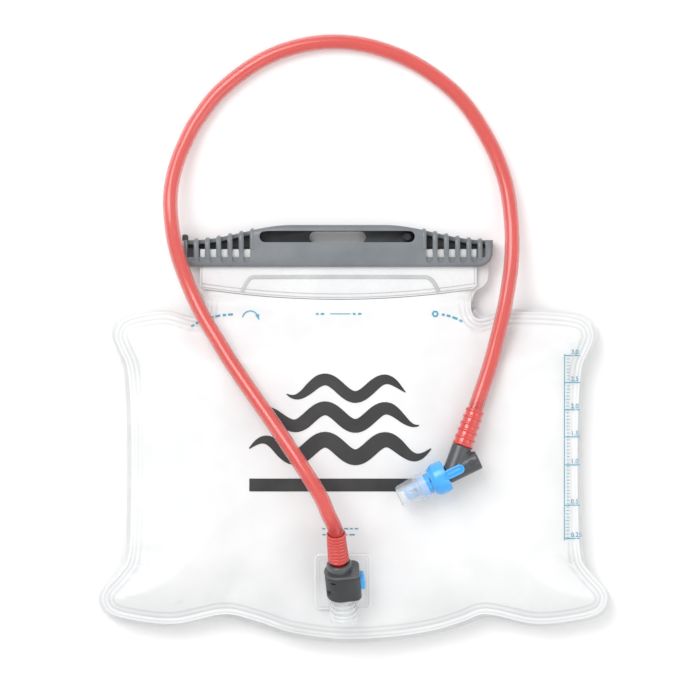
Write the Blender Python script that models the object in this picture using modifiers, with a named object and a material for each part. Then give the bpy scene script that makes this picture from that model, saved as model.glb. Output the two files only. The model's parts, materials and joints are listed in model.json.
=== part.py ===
"""Hydration bladder: a wide, gusseted film reservoir with a slide-on closure bar, a self-sealing
port with a push-button connector, a drink tube and a twist-to-close bite valve.

The bag lies on its back: +X across, +Y towards the closure bar, +Z up out of the front film.
The origin is at the middle of the bag's underside, tube and valve not counted.
"""
import math

import bmesh
import bpy
from mathutils import Matrix, Vector

mm = 0.001
GAP = 0.3 * mm              # clearance between pieces that touch
SLIDING = 0.6 * mm          # clearance between pieces that slide

# Film reservoir
FILM = 0.6 * mm             # wall of every film panel
WING_HALF = 150 * mm        # half width at the bottom wing tips
SHOULDER_HALF = 142 * mm    # half width at the shoulders
WAIST_HALF = 133 * mm       # half width at the waist
SHOULDER_Y = 71 * mm        # top edge of the shoulders
HEM_Y = -123 * mm           # lowest point of the bottom hem
HEM_WING_Y = -111 * mm      # hem under the wing tips
FRONT_EDGE_Z = 17 * mm      # height of the front panel's edge
BACK_EDGE_Z = 6 * mm        # height of the back panel's edge
CROWN = 23 * mm             # how far the filled front panel rises over its edge
CROWN_REACH = 26 * mm       # distance from the edge over which it rises
BACK_FLAT_INSET = 30 * mm   # distance from the edge to the flat underside
PLEAT_DEPTH = 9 * mm        # fold of the gussets

# Mouth
NECK_X = -9.7 * mm          # the neck, port and closure are left of the bag's middle
NECK_HALF = 79.5 * mm       # half width of the neck
MOUTH_Z = 8 * mm            # middle plane of the mouth
MOUTH_GAP = 4.6 * mm        # clear height between the two lips
MOUTH_EDGE_Y = 84.5 * mm    # where the film meets the plates at the sides
MOUTH_BOW = 6 * mm          # how much lower it meets them in the middle
MOUTH_SPANS = 7             # straight stretches of the film's edge along the mouth
SEAM_STEP = 9 * mm          # distance from the neck's side seams at which the lips are fully apart
PLATE = 1.4 * mm            # thickness of the stiffener plates
PLATE_HALF = 82.5 * mm      # half width of the plates
BEAD_Y = (103 * mm, 108.6 * mm)   # the bead along the plates' top edge
BEAD_RISE = 1.2 * mm        # how far the bead stands out of its plate

# Closure bar
BAR_LEFT = -102 * mm
BAR_RIGHT = 82.4 * mm
BAR_BOTTOM_Y = 98 * mm
BAR_END_Y = 114 * mm        # top edge at the two ends
BAR_TOP_Y = 123 * mm        # top edge in the middle
BAR_WALL = 2.4 * mm
BAR_LIP_Y = 102.3 * mm      # top of the two lips that hook under the beads
BAR_END_WALL = 2.5 * mm
SLOT_PITCH = 6.7 * mm
SLOT_WIDTH = 4 * mm
SLOT_COUNT = 6
LEFT_SLOT_X = -97.6 * mm    # first slot of the left group
RIGHT_SLOT_X = 44.6 * mm    # first slot of the right group
SLOT_BOTTOM_Y = 100.4 * mm
WINDOW_X = (-56.6 * mm, 35.9 * mm)
WINDOW_Y = (112.6 * mm, 119.4 * mm)
HANGER_X = (-27 * mm, 6.8 * mm)
HANGER_PLATE = 1.6 * mm
PEG_X = 31.6 * mm
PEG_RADIUS = 2.2 * mm
PEG_RISE = 6 * mm

# Port
PORT_SEAT = (-6.9 * mm, -88.4 * mm, 30 * mm)   # middle of the weld patch, on the film
PORT_TILT = math.radians(12)                   # slope of the patch, rising towards the bar
PATCH_SIZE = (34 * mm, 34.4 * mm)
PATCH_CORNER = 3.6 * mm
PATCH = 0.8 * mm
FLANGE_RADIUS = 10 * mm
FLANGE = 1.4 * mm
FLANGE_Y = -95.8 * mm
STUB_OFFSET = (-6.0 * mm, -107.5 * mm, 24.1 * mm)   # its height is without half the connector's
STUB_RISE = math.radians(33)                   # stub axis over the bag's plane
STUB_LEAN = math.radians(5.8)                  # stub axis turned towards -X
SPIGOT_RADIUS = 5 * mm
HUB_WALL = 3.8 * mm                            # how far the hub stands out past the spigot
HUB_RADIUS = SPIGOT_RADIUS + HUB_WALL
SPIGOT_START = 14 * mm                         # along the stub axis
SPIGOT_END = 26 * mm
BORE_RADIUS = 3.4 * mm
SEAT_RADIUS = 2.2 * mm
SEAT_START = 24.5 * mm
SPRING_LEDGE = 9 * mm
PLUNGER_TRAVEL = 3 * mm

# Quick connector, along the stub axis
HOUSING_START = SPIGOT_START + 0.6 * mm
HOUSING_LENGTH = 18 * mm
HOUSING_WALL = 3.5 * mm     # from the spigot to the housing's outside
HOUSING_HALF = SPIGOT_RADIUS + HOUSING_WALL
BUTTON_SIDE = 6.4 * mm      # from the spigot to the outside on the button's side
HOUSING_RIGHT = SPIGOT_RADIUS + BUTTON_SIDE
STUB_START = (STUB_OFFSET[0], STUB_OFFSET[1], STUB_OFFSET[2] + HOUSING_HALF)
BUTTON_PROUD = 2.6 * mm
BUTTON_TRAVEL = 2 * mm
BUTTON_LENGTH = 8.8 * mm
LATCH = 1.2 * mm
LATCH_RIM = 1.2 * mm        # what the latch plate keeps on each side of the spigot
LATCH_HALF = SPIGOT_RADIUS + LATCH_RIM

# Drink tube
TUBE_RADIUS = 4.5 * mm
CUFF_WALL = 1.6 * mm
CUFF_RADIUS = TUBE_RADIUS + CUFF_WALL
COLLAR_WALL = 2.85 * mm
COLLAR_RADIUS = TUBE_RADIUS + COLLAR_WALL
LOWER_CUFF_LENGTH = 18 * mm
UPPER_CUFF_LENGTH = 22 * mm

# Bite valve: it lies level over the bag, its tip pointing left and towards the hem
VALVE_PIVOT = (57.6 * mm, -22.9 * mm, 50 * mm)  # where the elbow's arm meets the valve's axis
VALVE_TURN = math.radians(205.8)
ELBOW_RADIUS = 5.65 * mm
ELBOW_BACK = 16.9 * mm
ARM_WALL = 1.5 * mm
ARM_RADIUS = TUBE_RADIUS + ARM_WALL
ARM_LAP = 2.3 * mm          # how far the arm reaches past the elbow's front face
ELBOW_FRONT = ARM_RADIUS - ARM_LAP
RING_RADIUS = 9.5 * mm
RING_LENGTH = 10 * mm
LEVER_WIDTH = 5.6 * mm
LEVER_LENGTH = 13 * mm
STEM_RADIUS = 4 * mm
SLEEVE_RADIUS = 8 * mm
SLEEVE_START = 17 * mm
VALVE_TIP = 35 * mm

# The tube's route, from the connector over the bag and bar, round on the table and back to the valve
TUBE_ROUTE = [
    (-24.2, -29.5, 63.6), (-33.6, -15, 60.2), (-44.5, 1, 54.6), (-57, 18.7, 48.2), (-66, 31.5, 43.6),
    (-73.5, 42.5, 39.2), (-81, 54.5, 33.6), (-88.4, 66.3, 28), (-94.5, 78, 24.2), (-99.7, 90.1, 22.2),
    (-104, 102, 21.5), (-107.1, 113.9, 21.3), (-108.8, 125.8, 21), (-109.5, 137.7, 18.8),
    (-108.3, 149.6, 15.2), (-105.3, 161.5, 11.6), (-100.5, 173.4, 8.4), (-94.3, 185.3, 6.2), (-80, 203.5, 4.9),
    (-56.2, 221.3, 4.7), (-32.4, 230.3, 4.7), (-8.6, 232.6, 4.7), (15.2, 228.5, 4.7), (39, 218.1, 4.7),
    (62.8, 199.3, 4.7), (80.3, 173.4, 5.2), (89.8, 149.6, 7.4), (93.4, 125.8, 11.4), (93.4, 102, 16.8),
    (89.8, 78.2, 24), (87, 66, 28.4), (83.9, 54.4, 32.8), (80.5, 42, 37.2), (76.8, 30.6, 41),
    (72.5, 18.5, 44),
]

# Vertical places that follow from the sizes above
FRONT_LIP_Z = MOUTH_Z + MOUTH_GAP / 2
BACK_LIP_Z = MOUTH_Z - MOUTH_GAP / 2
BEAD_OUT = PLATE + BEAD_RISE
BAR_INSIDE = MOUTH_GAP / 2 + BEAD_OUT + GAP
BAR_THROAT = MOUTH_GAP / 2 + PLATE + SLIDING
BAR_OUTSIDE = BAR_INSIDE + BAR_WALL


# ---------------------------------------------------------------- small tools

for old in list(bpy.data.objects):
    bpy.data.objects.remove(old, do_unlink=True)

parts = bpy.data.collections.new("hydration_bladder")
cutters = bpy.data.collections.new("cutters")
for group in (parts, cutters):
    bpy.context.scene.collection.children.link(group)


def material(name, colour, roughness, alpha=1.0):
    made = bpy.data.materials.new(name)
    made.use_nodes = True
    shader = made.node_tree.nodes["Principled BSDF"]
    shader.inputs["Base Color"].default_value = (*colour, 1)
    shader.inputs["Roughness"].default_value = roughness
    shader.inputs["Alpha"].default_value = alpha
    return made


FILM_FINISH = material("frosted_film", (0.86, 0.87, 0.87), 0.45, 0.6)
CLEAR = material("clear_plastic", (0.82, 0.84, 0.85), 0.25, 0.5)
GREY = material("grey_plastic", (0.16, 0.18, 0.2), 0.5)
DARK = material("dark_plastic", (0.04, 0.04, 0.045), 0.5)
RED = material("red_tube", (0.75, 0.12, 0.1), 0.25, 0.8)
BLUE = material("blue_plastic", (0.04, 0.36, 0.85), 0.35)
SILICONE = material("silicone", (0.8, 0.85, 0.9), 0.35, 0.5)
RUBBER = material("seal_rubber", (0.02, 0.02, 0.02), 0.6)
STEEL = material("spring_steel", (0.5, 0.5, 0.5), 0.3)


def new_object(name, data, finish=None, parent=None):
    """A part when it has a finish, and a cutter when it has none."""
    made = bpy.data.objects.new(name, data)
    if finish:
        made.data.materials.append(finish)
        parts.objects.link(made)
    else:
        cutters.objects.link(made)
        made.hide_render = True
        made.display_type = "WIRE"
    made.parent = parent
    return made


def empty(name, place, rotation):
    made = bpy.data.objects.new(name, None)
    made.location = place
    made.rotation_euler = rotation
    cutters.objects.link(made)
    return made


def smooth_shade(made, angle=35):
    made.data.shade_smooth()
    made.data.set_sharp_from_angle(angle=math.radians(angle))


def block(name, low, high, finish=None, parent=None):
    shape = bmesh.new()
    bmesh.ops.create_cube(shape, size=1)
    size = Vector(high) - Vector(low)
    bmesh.ops.scale(shape, vec=size, verts=shape.verts)
    bmesh.ops.translate(shape, vec=(Vector(low) + Vector(high)) / 2, verts=shape.verts)
    mesh = bpy.data.meshes.new(name)
    shape.to_mesh(mesh)
    shape.free()
    return new_object(name, mesh, finish, parent)


def rod(name, radius, start, end, finish=None, parent=None, sides=24):
    """A cylinder between two points of its parent's space."""
    start, end = Vector(start), Vector(end)
    shape = bmesh.new()
    bmesh.ops.create_cone(shape, cap_ends=True, segments=sides, radius1=radius, radius2=radius,
                          depth=(end - start).length)
    turn = (end - start).to_track_quat("Z", "Y").to_matrix().to_4x4()
    bmesh.ops.transform(shape, matrix=Matrix.Translation((start + end) / 2) @ turn, verts=shape.verts)
    mesh = bpy.data.meshes.new(name)
    shape.to_mesh(mesh)
    shape.free()
    return new_object(name, mesh, finish, parent)


def turned(name, profile, finish=None, parent=None, sides=24, closed=False):
    """A profile of (radius, height), running down its outer side, turned about the parent's Z."""
    mesh = bpy.data.meshes.new(name)
    count = len(profile)
    edges = [(n, n + 1) for n in range(count - 1)] + ([(count - 1, 0)] if closed else [])
    mesh.from_pydata([(r, 0, z) for r, z in profile], edges, [])
    made = new_object(name, mesh, finish, parent)
    screw = made.modifiers.new("turn", "SCREW")
    screw.steps = screw.render_steps = sides
    screw.use_merge_vertices = True
    screw.merge_threshold = 0.00001
    return made


def ring(name, radius, wire, height, finish, parent):
    """An O-ring about the parent's Z."""
    shape = [(radius + wire * math.cos(a), height + wire * math.sin(a))
             for a in (-2 * math.pi * n / 8 for n in range(8))]
    return turned(name, shape, finish, parent, closed=True)


def as_mesh(curve_object, finish=None, parent=None):
    """The curve's solid as a welded mesh object, in the curve's place."""
    name = curve_object.name
    depsgraph = bpy.context.evaluated_depsgraph_get()
    mesh = bpy.data.meshes.new_from_object(curve_object.evaluated_get(depsgraph))
    shape = bmesh.new()
    shape.from_mesh(mesh)
    bmesh.ops.remove_doubles(shape, verts=shape.verts, dist=0.000001)
    shape.to_mesh(mesh)
    shape.free()
    mesh.materials.clear()
    place = curve_object.matrix_world.copy()
    bpy.data.objects.remove(curve_object, do_unlink=True)
    made = new_object(name, mesh, finish, parent)
    made.name = name
    made.matrix_basis = place
    return made


def flat_plate(name, outline, low, high, finish=None, parent=None):
    """A flat outline of (x, y) points, filled and extruded between two heights."""
    curve = bpy.data.curves.new(name, "CURVE")
    curve.dimensions = "2D"
    curve.fill_mode = "BOTH"
    curve.extrude = (high - low) / 2
    line = curve.splines.new("POLY")
    line.points.add(len(outline) - 1)
    for point, (x, y) in zip(line.points, outline):
        point.co = (x, y, 0, 1)
    line.use_cyclic_u = True
    made = bpy.data.objects.new(name, curve)
    cutters.objects.link(made)
    made.location = (0, 0, (low + high) / 2)
    bpy.context.view_layer.update()
    return as_mesh(made, finish, parent)


def tube(name, points, radius, finish=None, parent=None, resolution=3, closed=False):
    curve = bpy.data.curves.new(name, "CURVE")
    curve.dimensions = "3D"
    curve.bevel_depth = radius
    curve.bevel_resolution = resolution
    curve.use_fill_caps = not closed
    line = curve.splines.new("POLY")
    line.points.add(len(points) - 1)
    for point, place in zip(line.points, points):
        point.co = (*place, 1)
    return new_object(name, curve, finish, parent)


def combine(target, operation, *others):
    for other in others:
        change = target.modifiers.new(other.name, "BOOLEAN")
        change.operation = operation
        change.solver = "EXACT"
        change.object = other


def rounded(target, width, segments=2, angle=40):
    bevel = target.modifiers.new("rounding", "BEVEL")
    bevel.width = width
    bevel.segments = segments
    bevel.limit_method = "ANGLE"
    bevel.angle_limit = math.radians(angle)


def arc(cx, cy, radius, start, end, steps):
    return [(cx + radius * math.cos(math.radians(start + (end - start) * n / steps)),
             cy + radius * math.sin(math.radians(start + (end - start) * n / steps)))
            for n in range(steps + 1)]


def rounded_rectangle(low, high, radius, steps=4):
    (x0, y0), (x1, y1) = low, high
    return (arc(x1 - radius, y1 - radius, radius, 0, 90, steps) + arc(x0 + radius, y1 - radius, radius, 90, 180, steps)
            + arc(x0 + radius, y0 + radius, radius, 180, 270, steps)
            + arc(x1 - radius, y0 + radius, radius, 270, 360, steps))


def smooth_path(points, per_span):
    """A centripetal Catmull-Rom curve through the points, with this many steps in each span."""
    points = [Vector(p) for p in points]
    ends = [2 * points[0] - points[1]] + points + [2 * points[-1] - points[-2]]
    times = [0.0]
    for a, b in zip(ends, ends[1:]):
        times.append(times[-1] + max((b - a).length, 1e-9) ** 0.5)
    tangents = [(ends[n + 1] - ends[n - 1]) / (times[n + 1] - times[n - 1]) for n in range(1, len(ends) - 1)]
    path = []
    for n in range(len(points) - 1):
        span = times[n + 2] - times[n + 1]
        for step in range(per_span):
            t = step / per_span
            path.append(points[n] * (2 * t**3 - 3 * t**2 + 1) + points[n + 1] * (3 * t**2 - 2 * t**3)
                        + tangents[n] * span * (t**3 - 2 * t**2 + t) + tangents[n + 1] * span * (t**3 - t**2))
    return path + [points[-1]]


def evenly(path, spacing):
    """The path again, with its points spaced evenly."""
    lengths = [0.0]
    for a, b in zip(path, path[1:]):
        lengths.append(lengths[-1] + (b - a).length)
    count = max(2, round(lengths[-1] / spacing))
    even, n = [], 0
    for k in range(count + 1):
        want = lengths[-1] * k / count
        while n < len(path) - 2 and lengths[n + 1] < want:
            n += 1
        share = (want - lengths[n]) / (lengths[n + 1] - lengths[n])
        even.append(path[n].lerp(path[n + 1], min(share, 1)))
    return even


def ease(low, high, value):
    t = min(max((value - low) / (high - low), 0), 1)
    return t * t * (3 - 2 * t)


# ---------------------------------------------------------------- the bag's outline and surfaces

NECK_TOP_Y = MOUTH_EDGE_Y
NECK_BLEND = (66 * mm, 80 * mm)     # over this stretch the filled bag narrows to the flat mouth
CROWN_FADE = (40 * mm, 80 * mm)


def side_outline(side):
    """Key points of one side, from the neck down to the pinch beside the hem's middle lobe."""
    neck = NECK_X + side * NECK_HALF
    wing, shoulder, waist = side * WING_HALF, side * SHOULDER_HALF, side * WAIST_HALF
    return [
        (neck, NECK_TOP_Y), (neck, SHOULDER_Y), (neck + side * 5 * mm, SHOULDER_Y - 4 * mm),
        (neck + side * 22 * mm, SHOULDER_Y), (shoulder - side * 17 * mm, SHOULDER_Y - 1 * mm),
        (shoulder - side * 4 * mm, SHOULDER_Y - 5 * mm), (shoulder, SHOULDER_Y - 14 * mm),
        (shoulder - side * 3 * mm, SHOULDER_Y - 23 * mm), (waist + side * 2 * mm, SHOULDER_Y - 33 * mm),
        (waist, 13 * mm), (waist - side * 0.5 * mm, -20 * mm), (waist, -52 * mm),
        (waist + side * 1.5 * mm, HEM_WING_Y + 36 * mm), (wing - side * 10 * mm, HEM_WING_Y + 27 * mm),
        (wing - side * 2 * mm, HEM_WING_Y + 18 * mm), (wing, HEM_WING_Y + 11 * mm),
        (wing - side * 5 * mm, HEM_WING_Y + 3 * mm), (wing - side * 22 * mm, HEM_WING_Y - 1.5 * mm),
        (wing - side * 44 * mm, HEM_WING_Y - 3 * mm), (side * 78 * mm, HEM_WING_Y + 2.5 * mm),
    ]


def bag_outline():
    """The film's outline from the neck's left corner, down the left side and round to the right corner."""
    hem = [(-60 * mm, HEM_Y + 11 * mm), (-38 * mm, HEM_Y + 4 * mm), (-7 * mm, HEM_Y), (24 * mm, HEM_Y + 1.5 * mm),
           (47 * mm, HEM_Y + 5 * mm), (64 * mm, HEM_Y + 10 * mm)]
    keys = side_outline(-1) + hem + side_outline(1)[::-1]
    return smooth_path([(x, y, 0) for x, y in keys], 2)


OUTLINE = bag_outline()


def mouth_edge(x):
    """The bowed line where the film meets the mouth plates."""
    return MOUTH_EDGE_Y - MOUTH_BOW * (1 - ((x - NECK_X) / NECK_HALF) ** 2)


def edge_distance(x, y):
    """Distance from a point to the film's outline, which is open at the mouth."""
    here = Vector((x, y, 0))
    nearest = 1.0
    for a, b in zip(OUTLINE, OUTLINE[1:]):
        along = b - a
        t = min(max((here - a).dot(along) / along.length_squared, 0), 1)
        nearest = min(nearest, (a + along * t - here).length)
    return nearest


def neck_share(y):
    return ease(*NECK_BLEND, y)


def front_edge_z(y):
    return FRONT_EDGE_Z + (MOUTH_Z + GAP / 2 + FILM - FRONT_EDGE_Z) * neck_share(y)


def back_edge_z(y):
    return BACK_EDGE_Z + (MOUTH_Z - GAP / 2 - FILM - BACK_EDGE_Z) * neck_share(y)


def port_plane(y):
    return PORT_SEAT[2] + (y - PORT_SEAT[1]) * math.tan(PORT_TILT)


def front_z(x, y):
    """Outer face of the front panel."""
    neck = neck_share(y)
    distance = edge_distance(x, y)
    fade = ease(*CROWN_FADE, y)
    lip_rise = FRONT_LIP_Z + FILM - front_edge_z(y)
    rise = CROWN * (1 - fade) + lip_rise * fade
    reach = CROWN_REACH * (1 - neck) + 3 * mm * neck
    z = front_edge_z(y) + rise * (1 - math.exp(-distance / reach))
    across = 1 - ease(PATCH_SIZE[0] / 2 + 9 * mm, PATCH_SIZE[0] / 2 + 27 * mm, abs(x - PORT_SEAT[0]))
    seat = across * (1 - ease(21.5 * mm, 42 * mm, abs(y - PORT_SEAT[1])))
    return z * (1 - seat) + port_plane(y) * seat


def back_z(x, y):
    """Outer face of the back panel: flat on the table away from its edge."""
    share = max(0, 1 - edge_distance(x, y) / BACK_FLAT_INSET) ** 2
    body = BACK_EDGE_Z * share
    lip = BACK_LIP_Z - FILM
    neck = lip + (back_edge_z(y) - lip) * math.exp(-edge_distance(x, y) / (3 * mm))
    return body + (neck - body) * neck_share(y)


def film_panel(name, height, rings, outward):
    """A film panel: rings of points inside the outline, each at its height, with a wall inwards."""
    left, right = OUTLINE[0].x + SEAM_STEP, OUTLINE[-1].x - SEAM_STEP
    inner = [right + (left - right) * n / MOUTH_SPANS for n in range(MOUTH_SPANS + 1)]
    mouth = [right + SEAM_STEP * 0.6] + inner + [left - SEAM_STEP * 0.6]
    loop = [(p.x, p.y) for p in OUTLINE] + [(x, mouth_edge(x)) for x in mouth]
    shape = bmesh.new()
    rows = [[shape.verts.new((x * t, y * t, height(x * t, y * t))) for x, y in loop] for t in rings]
    middle = shape.verts.new((0, 0, height(0, 0)))
    for outer, inner in zip(rows, rows[1:]):
        for n in range(len(loop)):
            m = (n + 1) % len(loop)
            shape.faces.new((outer[n], outer[m], inner[m], inner[n]))
    for n in range(len(loop)):
        shape.faces.new((rows[-1][n], rows[-1][(n + 1) % len(loop)], middle))
    if outward < 0:
        bmesh.ops.reverse_faces(shape, faces=shape.faces)
    bmesh.ops.triangulate(shape, faces=shape.faces)
    mesh = bpy.data.meshes.new(name)
    shape.to_mesh(mesh)
    shape.free()
    made = new_object(name, mesh, FILM_FINISH)
    wall = made.modifiers.new("wall", "SOLIDIFY")
    wall.thickness = FILM
    wall.offset = -1
    smooth_shade(made, 60)
    return made


def gusset(name, start, end):
    """A pleated band between the two panels' edges, along a stretch of the outline."""
    shape = bmesh.new()
    rows = []
    for p in OUTLINE[start:end + 1]:
        top, bottom = front_edge_z(p.y) - FILM - 2 * GAP, back_edge_z(p.y) + FILM + 2 * GAP
        deep = 1 - PLEAT_DEPTH / p.length
        middle = (top + bottom) / 2
        rows.append([shape.verts.new((p.x * s, p.y * s, z)) for s, z in ((1, top), (deep, middle), (1, bottom))])
    for a, b in zip(rows, rows[1:]):
        for n in range(2):
            shape.faces.new((a[n], a[n + 1], b[n + 1], b[n]))
    mesh = bpy.data.meshes.new(name)
    shape.to_mesh(mesh)
    shape.free()
    made = new_object(name, mesh, FILM_FINISH)
    wall = made.modifiers.new("wall", "SOLIDIFY")
    wall.thickness = FILM
    wall.offset = -1
    wall.use_even_offset = True
    return made


def reservoir():
    front = film_panel("front_panel", front_z, (1, 0.94, 0.87, 0.72, 0.555, 0.3), 1)
    hole = rod("port_hole", SEAT_RADIUS + 1.5 * mm, flange_point(-8 * mm), flange_point(8 * mm))
    combine(front, "DIFFERENCE", hole)
    film_panel("back_panel", back_z, (1, 0.9, 0.76, 0.4), -1)
    corner = min(range(len(OUTLINE)), key=lambda n: (OUTLINE[n] - Vector((-WING_HALF, HEM_WING_Y, 0))).length)
    other = min(range(len(OUTLINE)), key=lambda n: (OUTLINE[n] - Vector((WING_HALF, HEM_WING_Y, 0))).length)
    last = len(OUTLINE) - 1
    gusset("left_gusset", 2, corner - 1)
    gusset("bottom_gusset", corner, other)
    gusset("right_gusset", other + 1, last - 2)
    return hole


# ---------------------------------------------------------------- mouth plates and closure bar

def mouth_plate(name, side):
    """A stiffener plate on one lip, with the bead that the closure bar hooks under."""
    left, right = NECK_X - PLATE_HALF, NECK_X + PLATE_HALF
    lower = [left + (right - left) * n / 12 for n in range(13)]
    outline = ([(x, max(mouth_edge(x), MOUTH_EDGE_Y - MOUTH_BOW) + GAP) for x in lower]
               + [(right, BEAD_Y[1]), (left, BEAD_Y[1])])
    lip = MOUTH_Z + side * MOUTH_GAP / 2
    inner, outer = sorted((lip, lip + side * PLATE))
    plate = flat_plate(name, outline, inner, outer, CLEAR)
    low, high = sorted((lip, lip + side * BEAD_OUT))
    bead = block(name + "_bead", (left, BEAD_Y[0], low), (right, BEAD_Y[1] + 0.01 * mm, high))
    combine(plate, "UNION", bead)
    return plate


def bar_outline(inset=0.0):
    """Front view of the closure bar: level ends, an arched top and a slanted mouth at the right."""
    left, right = BAR_LEFT + inset, BAR_RIGHT - inset
    bottom = BAR_BOTTOM_Y + inset
    middle, half = (BAR_LEFT + BAR_RIGHT) / 2, (BAR_RIGHT - BAR_LEFT) / 2
    top = []
    for n in range(17):
        x = right - (right - left) * n / 16
        share = abs(x - middle) / half
        top.append((x, BAR_END_Y + (BAR_TOP_Y - BAR_END_Y) * (1 - ease(0.3, 0.95, share)) - inset))
    foot = arc(left + 5 * mm, bottom + 5 * mm, 5 * mm, 180, 270, 4)
    slant = [(right - 9 * mm, bottom), (right - 5 * mm, bottom + 3 * mm), (right - 1.5 * mm, bottom + 9 * mm)]
    return foot + slant + top


def slide_bar():
    bar = flat_plate("slide_bar", bar_outline(), MOUTH_Z - BAR_OUTSIDE, MOUTH_Z + BAR_OUTSIDE, GREY)
    rounded(bar, 1.6 * mm, 2, 50)
    inside_left = BAR_LEFT + BAR_END_WALL
    beyond = BAR_RIGHT + 5 * mm
    channel = block("bar_channel", (inside_left, BAR_LIP_Y, MOUTH_Z - BAR_INSIDE),
                    (beyond, BEAD_Y[1] + SLIDING + 0.01 * mm, MOUTH_Z + BAR_INSIDE))
    throat = block("bar_throat", (inside_left, BAR_BOTTOM_Y - 5 * mm, MOUTH_Z - BAR_THROAT),
                   (beyond, BAR_LIP_Y + 1 * mm, MOUTH_Z + BAR_THROAT))
    hollow = flat_plate("bar_hollow", bar_hollow_outline(), MOUTH_Z - BAR_INSIDE, MOUTH_Z + BAR_INSIDE)
    window = flat_plate("bar_window", stadium(WINDOW_X, WINDOW_Y), MOUTH_Z + BAR_INSIDE - 1 * mm,
                        MOUTH_Z + BAR_OUTSIDE + 5 * mm)
    hanger = flat_plate("bar_hanger_hole", stadium(HANGER_X, WINDOW_Y), MOUTH_Z - BAR_OUTSIDE - 5 * mm, MOUTH_Z)
    combine(bar, "DIFFERENCE", channel, throat, hollow, window, hanger)
    for first in (LEFT_SLOT_X, RIGHT_SLOT_X):
        for n in range(SLOT_COUNT):
            x = first + n * SLOT_PITCH
            half = SLOT_WIDTH / 2
            foot = arc(x, SLOT_BOTTOM_Y + half, half, 180, 360, 4)
            outline = foot + [(x + half, BAR_TOP_Y + 5 * mm), (x - half, BAR_TOP_Y + 5 * mm)]
            slot = flat_plate(f"bar_slot_{first * 1000:.0f}_{n}", outline, MOUTH_Z + 0.5 * mm,
                              MOUTH_Z + BAR_OUTSIDE + 5 * mm)
            combine(bar, "DIFFERENCE", slot)
    hanger_plate()


def bar_hollow_outline(inset=0.0):
    """The space above the beads, under the bar's arched top."""
    edge = [(x, y - BAR_WALL) for x, y in bar_outline()[8:]]
    left, right = BAR_LEFT + BAR_END_WALL, BAR_RIGHT - BAR_END_WALL
    inner = [(min(max(x, left), right), y) for x, y in edge]
    low = BEAD_Y[1] + SLIDING
    inner = [(x, y) for n, (x, y) in enumerate(inner) if 0 < n < len(inner) - 1]
    first, last = inner[0], inner[-1]
    return [(p[0], p[1] - inset) for p in inner] + [(last[0], low + inset), (first[0], low + inset)]


def stadium(xs, ys):
    radius = (ys[1] - ys[0]) / 2
    middle = (ys[0] + ys[1]) / 2
    return arc(xs[1] - radius, middle, radius, -90, 90, 6) + arc(xs[0] + radius, middle, radius, 90, 270, 6)


def hanger_plate():
    """The dark plate inside the bar, behind its window, with the detent peg and the hanger hole."""
    low = MOUTH_Z - BAR_INSIDE + GAP
    plate = flat_plate("hanger_plate", bar_hollow_outline(GAP), low, low + HANGER_PLATE, DARK)
    hole = flat_plate("plate_hanger_hole", stadium(HANGER_X, WINDOW_Y), low - 5 * mm, low + 5 * mm)
    peg = rod("peg", PEG_RADIUS, (PEG_X, sum(WINDOW_Y) / 2, low + HANGER_PLATE / 2),
              (PEG_X, sum(WINDOW_Y) / 2, low + HANGER_PLATE + PEG_RISE), sides=16)
    combine(plate, "DIFFERENCE", hole)
    combine(plate, "UNION", peg)


# ---------------------------------------------------------------- port

def flange_point(lift):
    """A point over the middle of the port's flange, this far off the film along its slope's normal."""
    base = Vector((PORT_SEAT[0] + 0.6 * mm, FLANGE_Y, port_plane(FLANGE_Y)))
    return base + Vector((0, -math.sin(PORT_TILT), math.cos(PORT_TILT))) * lift


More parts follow.
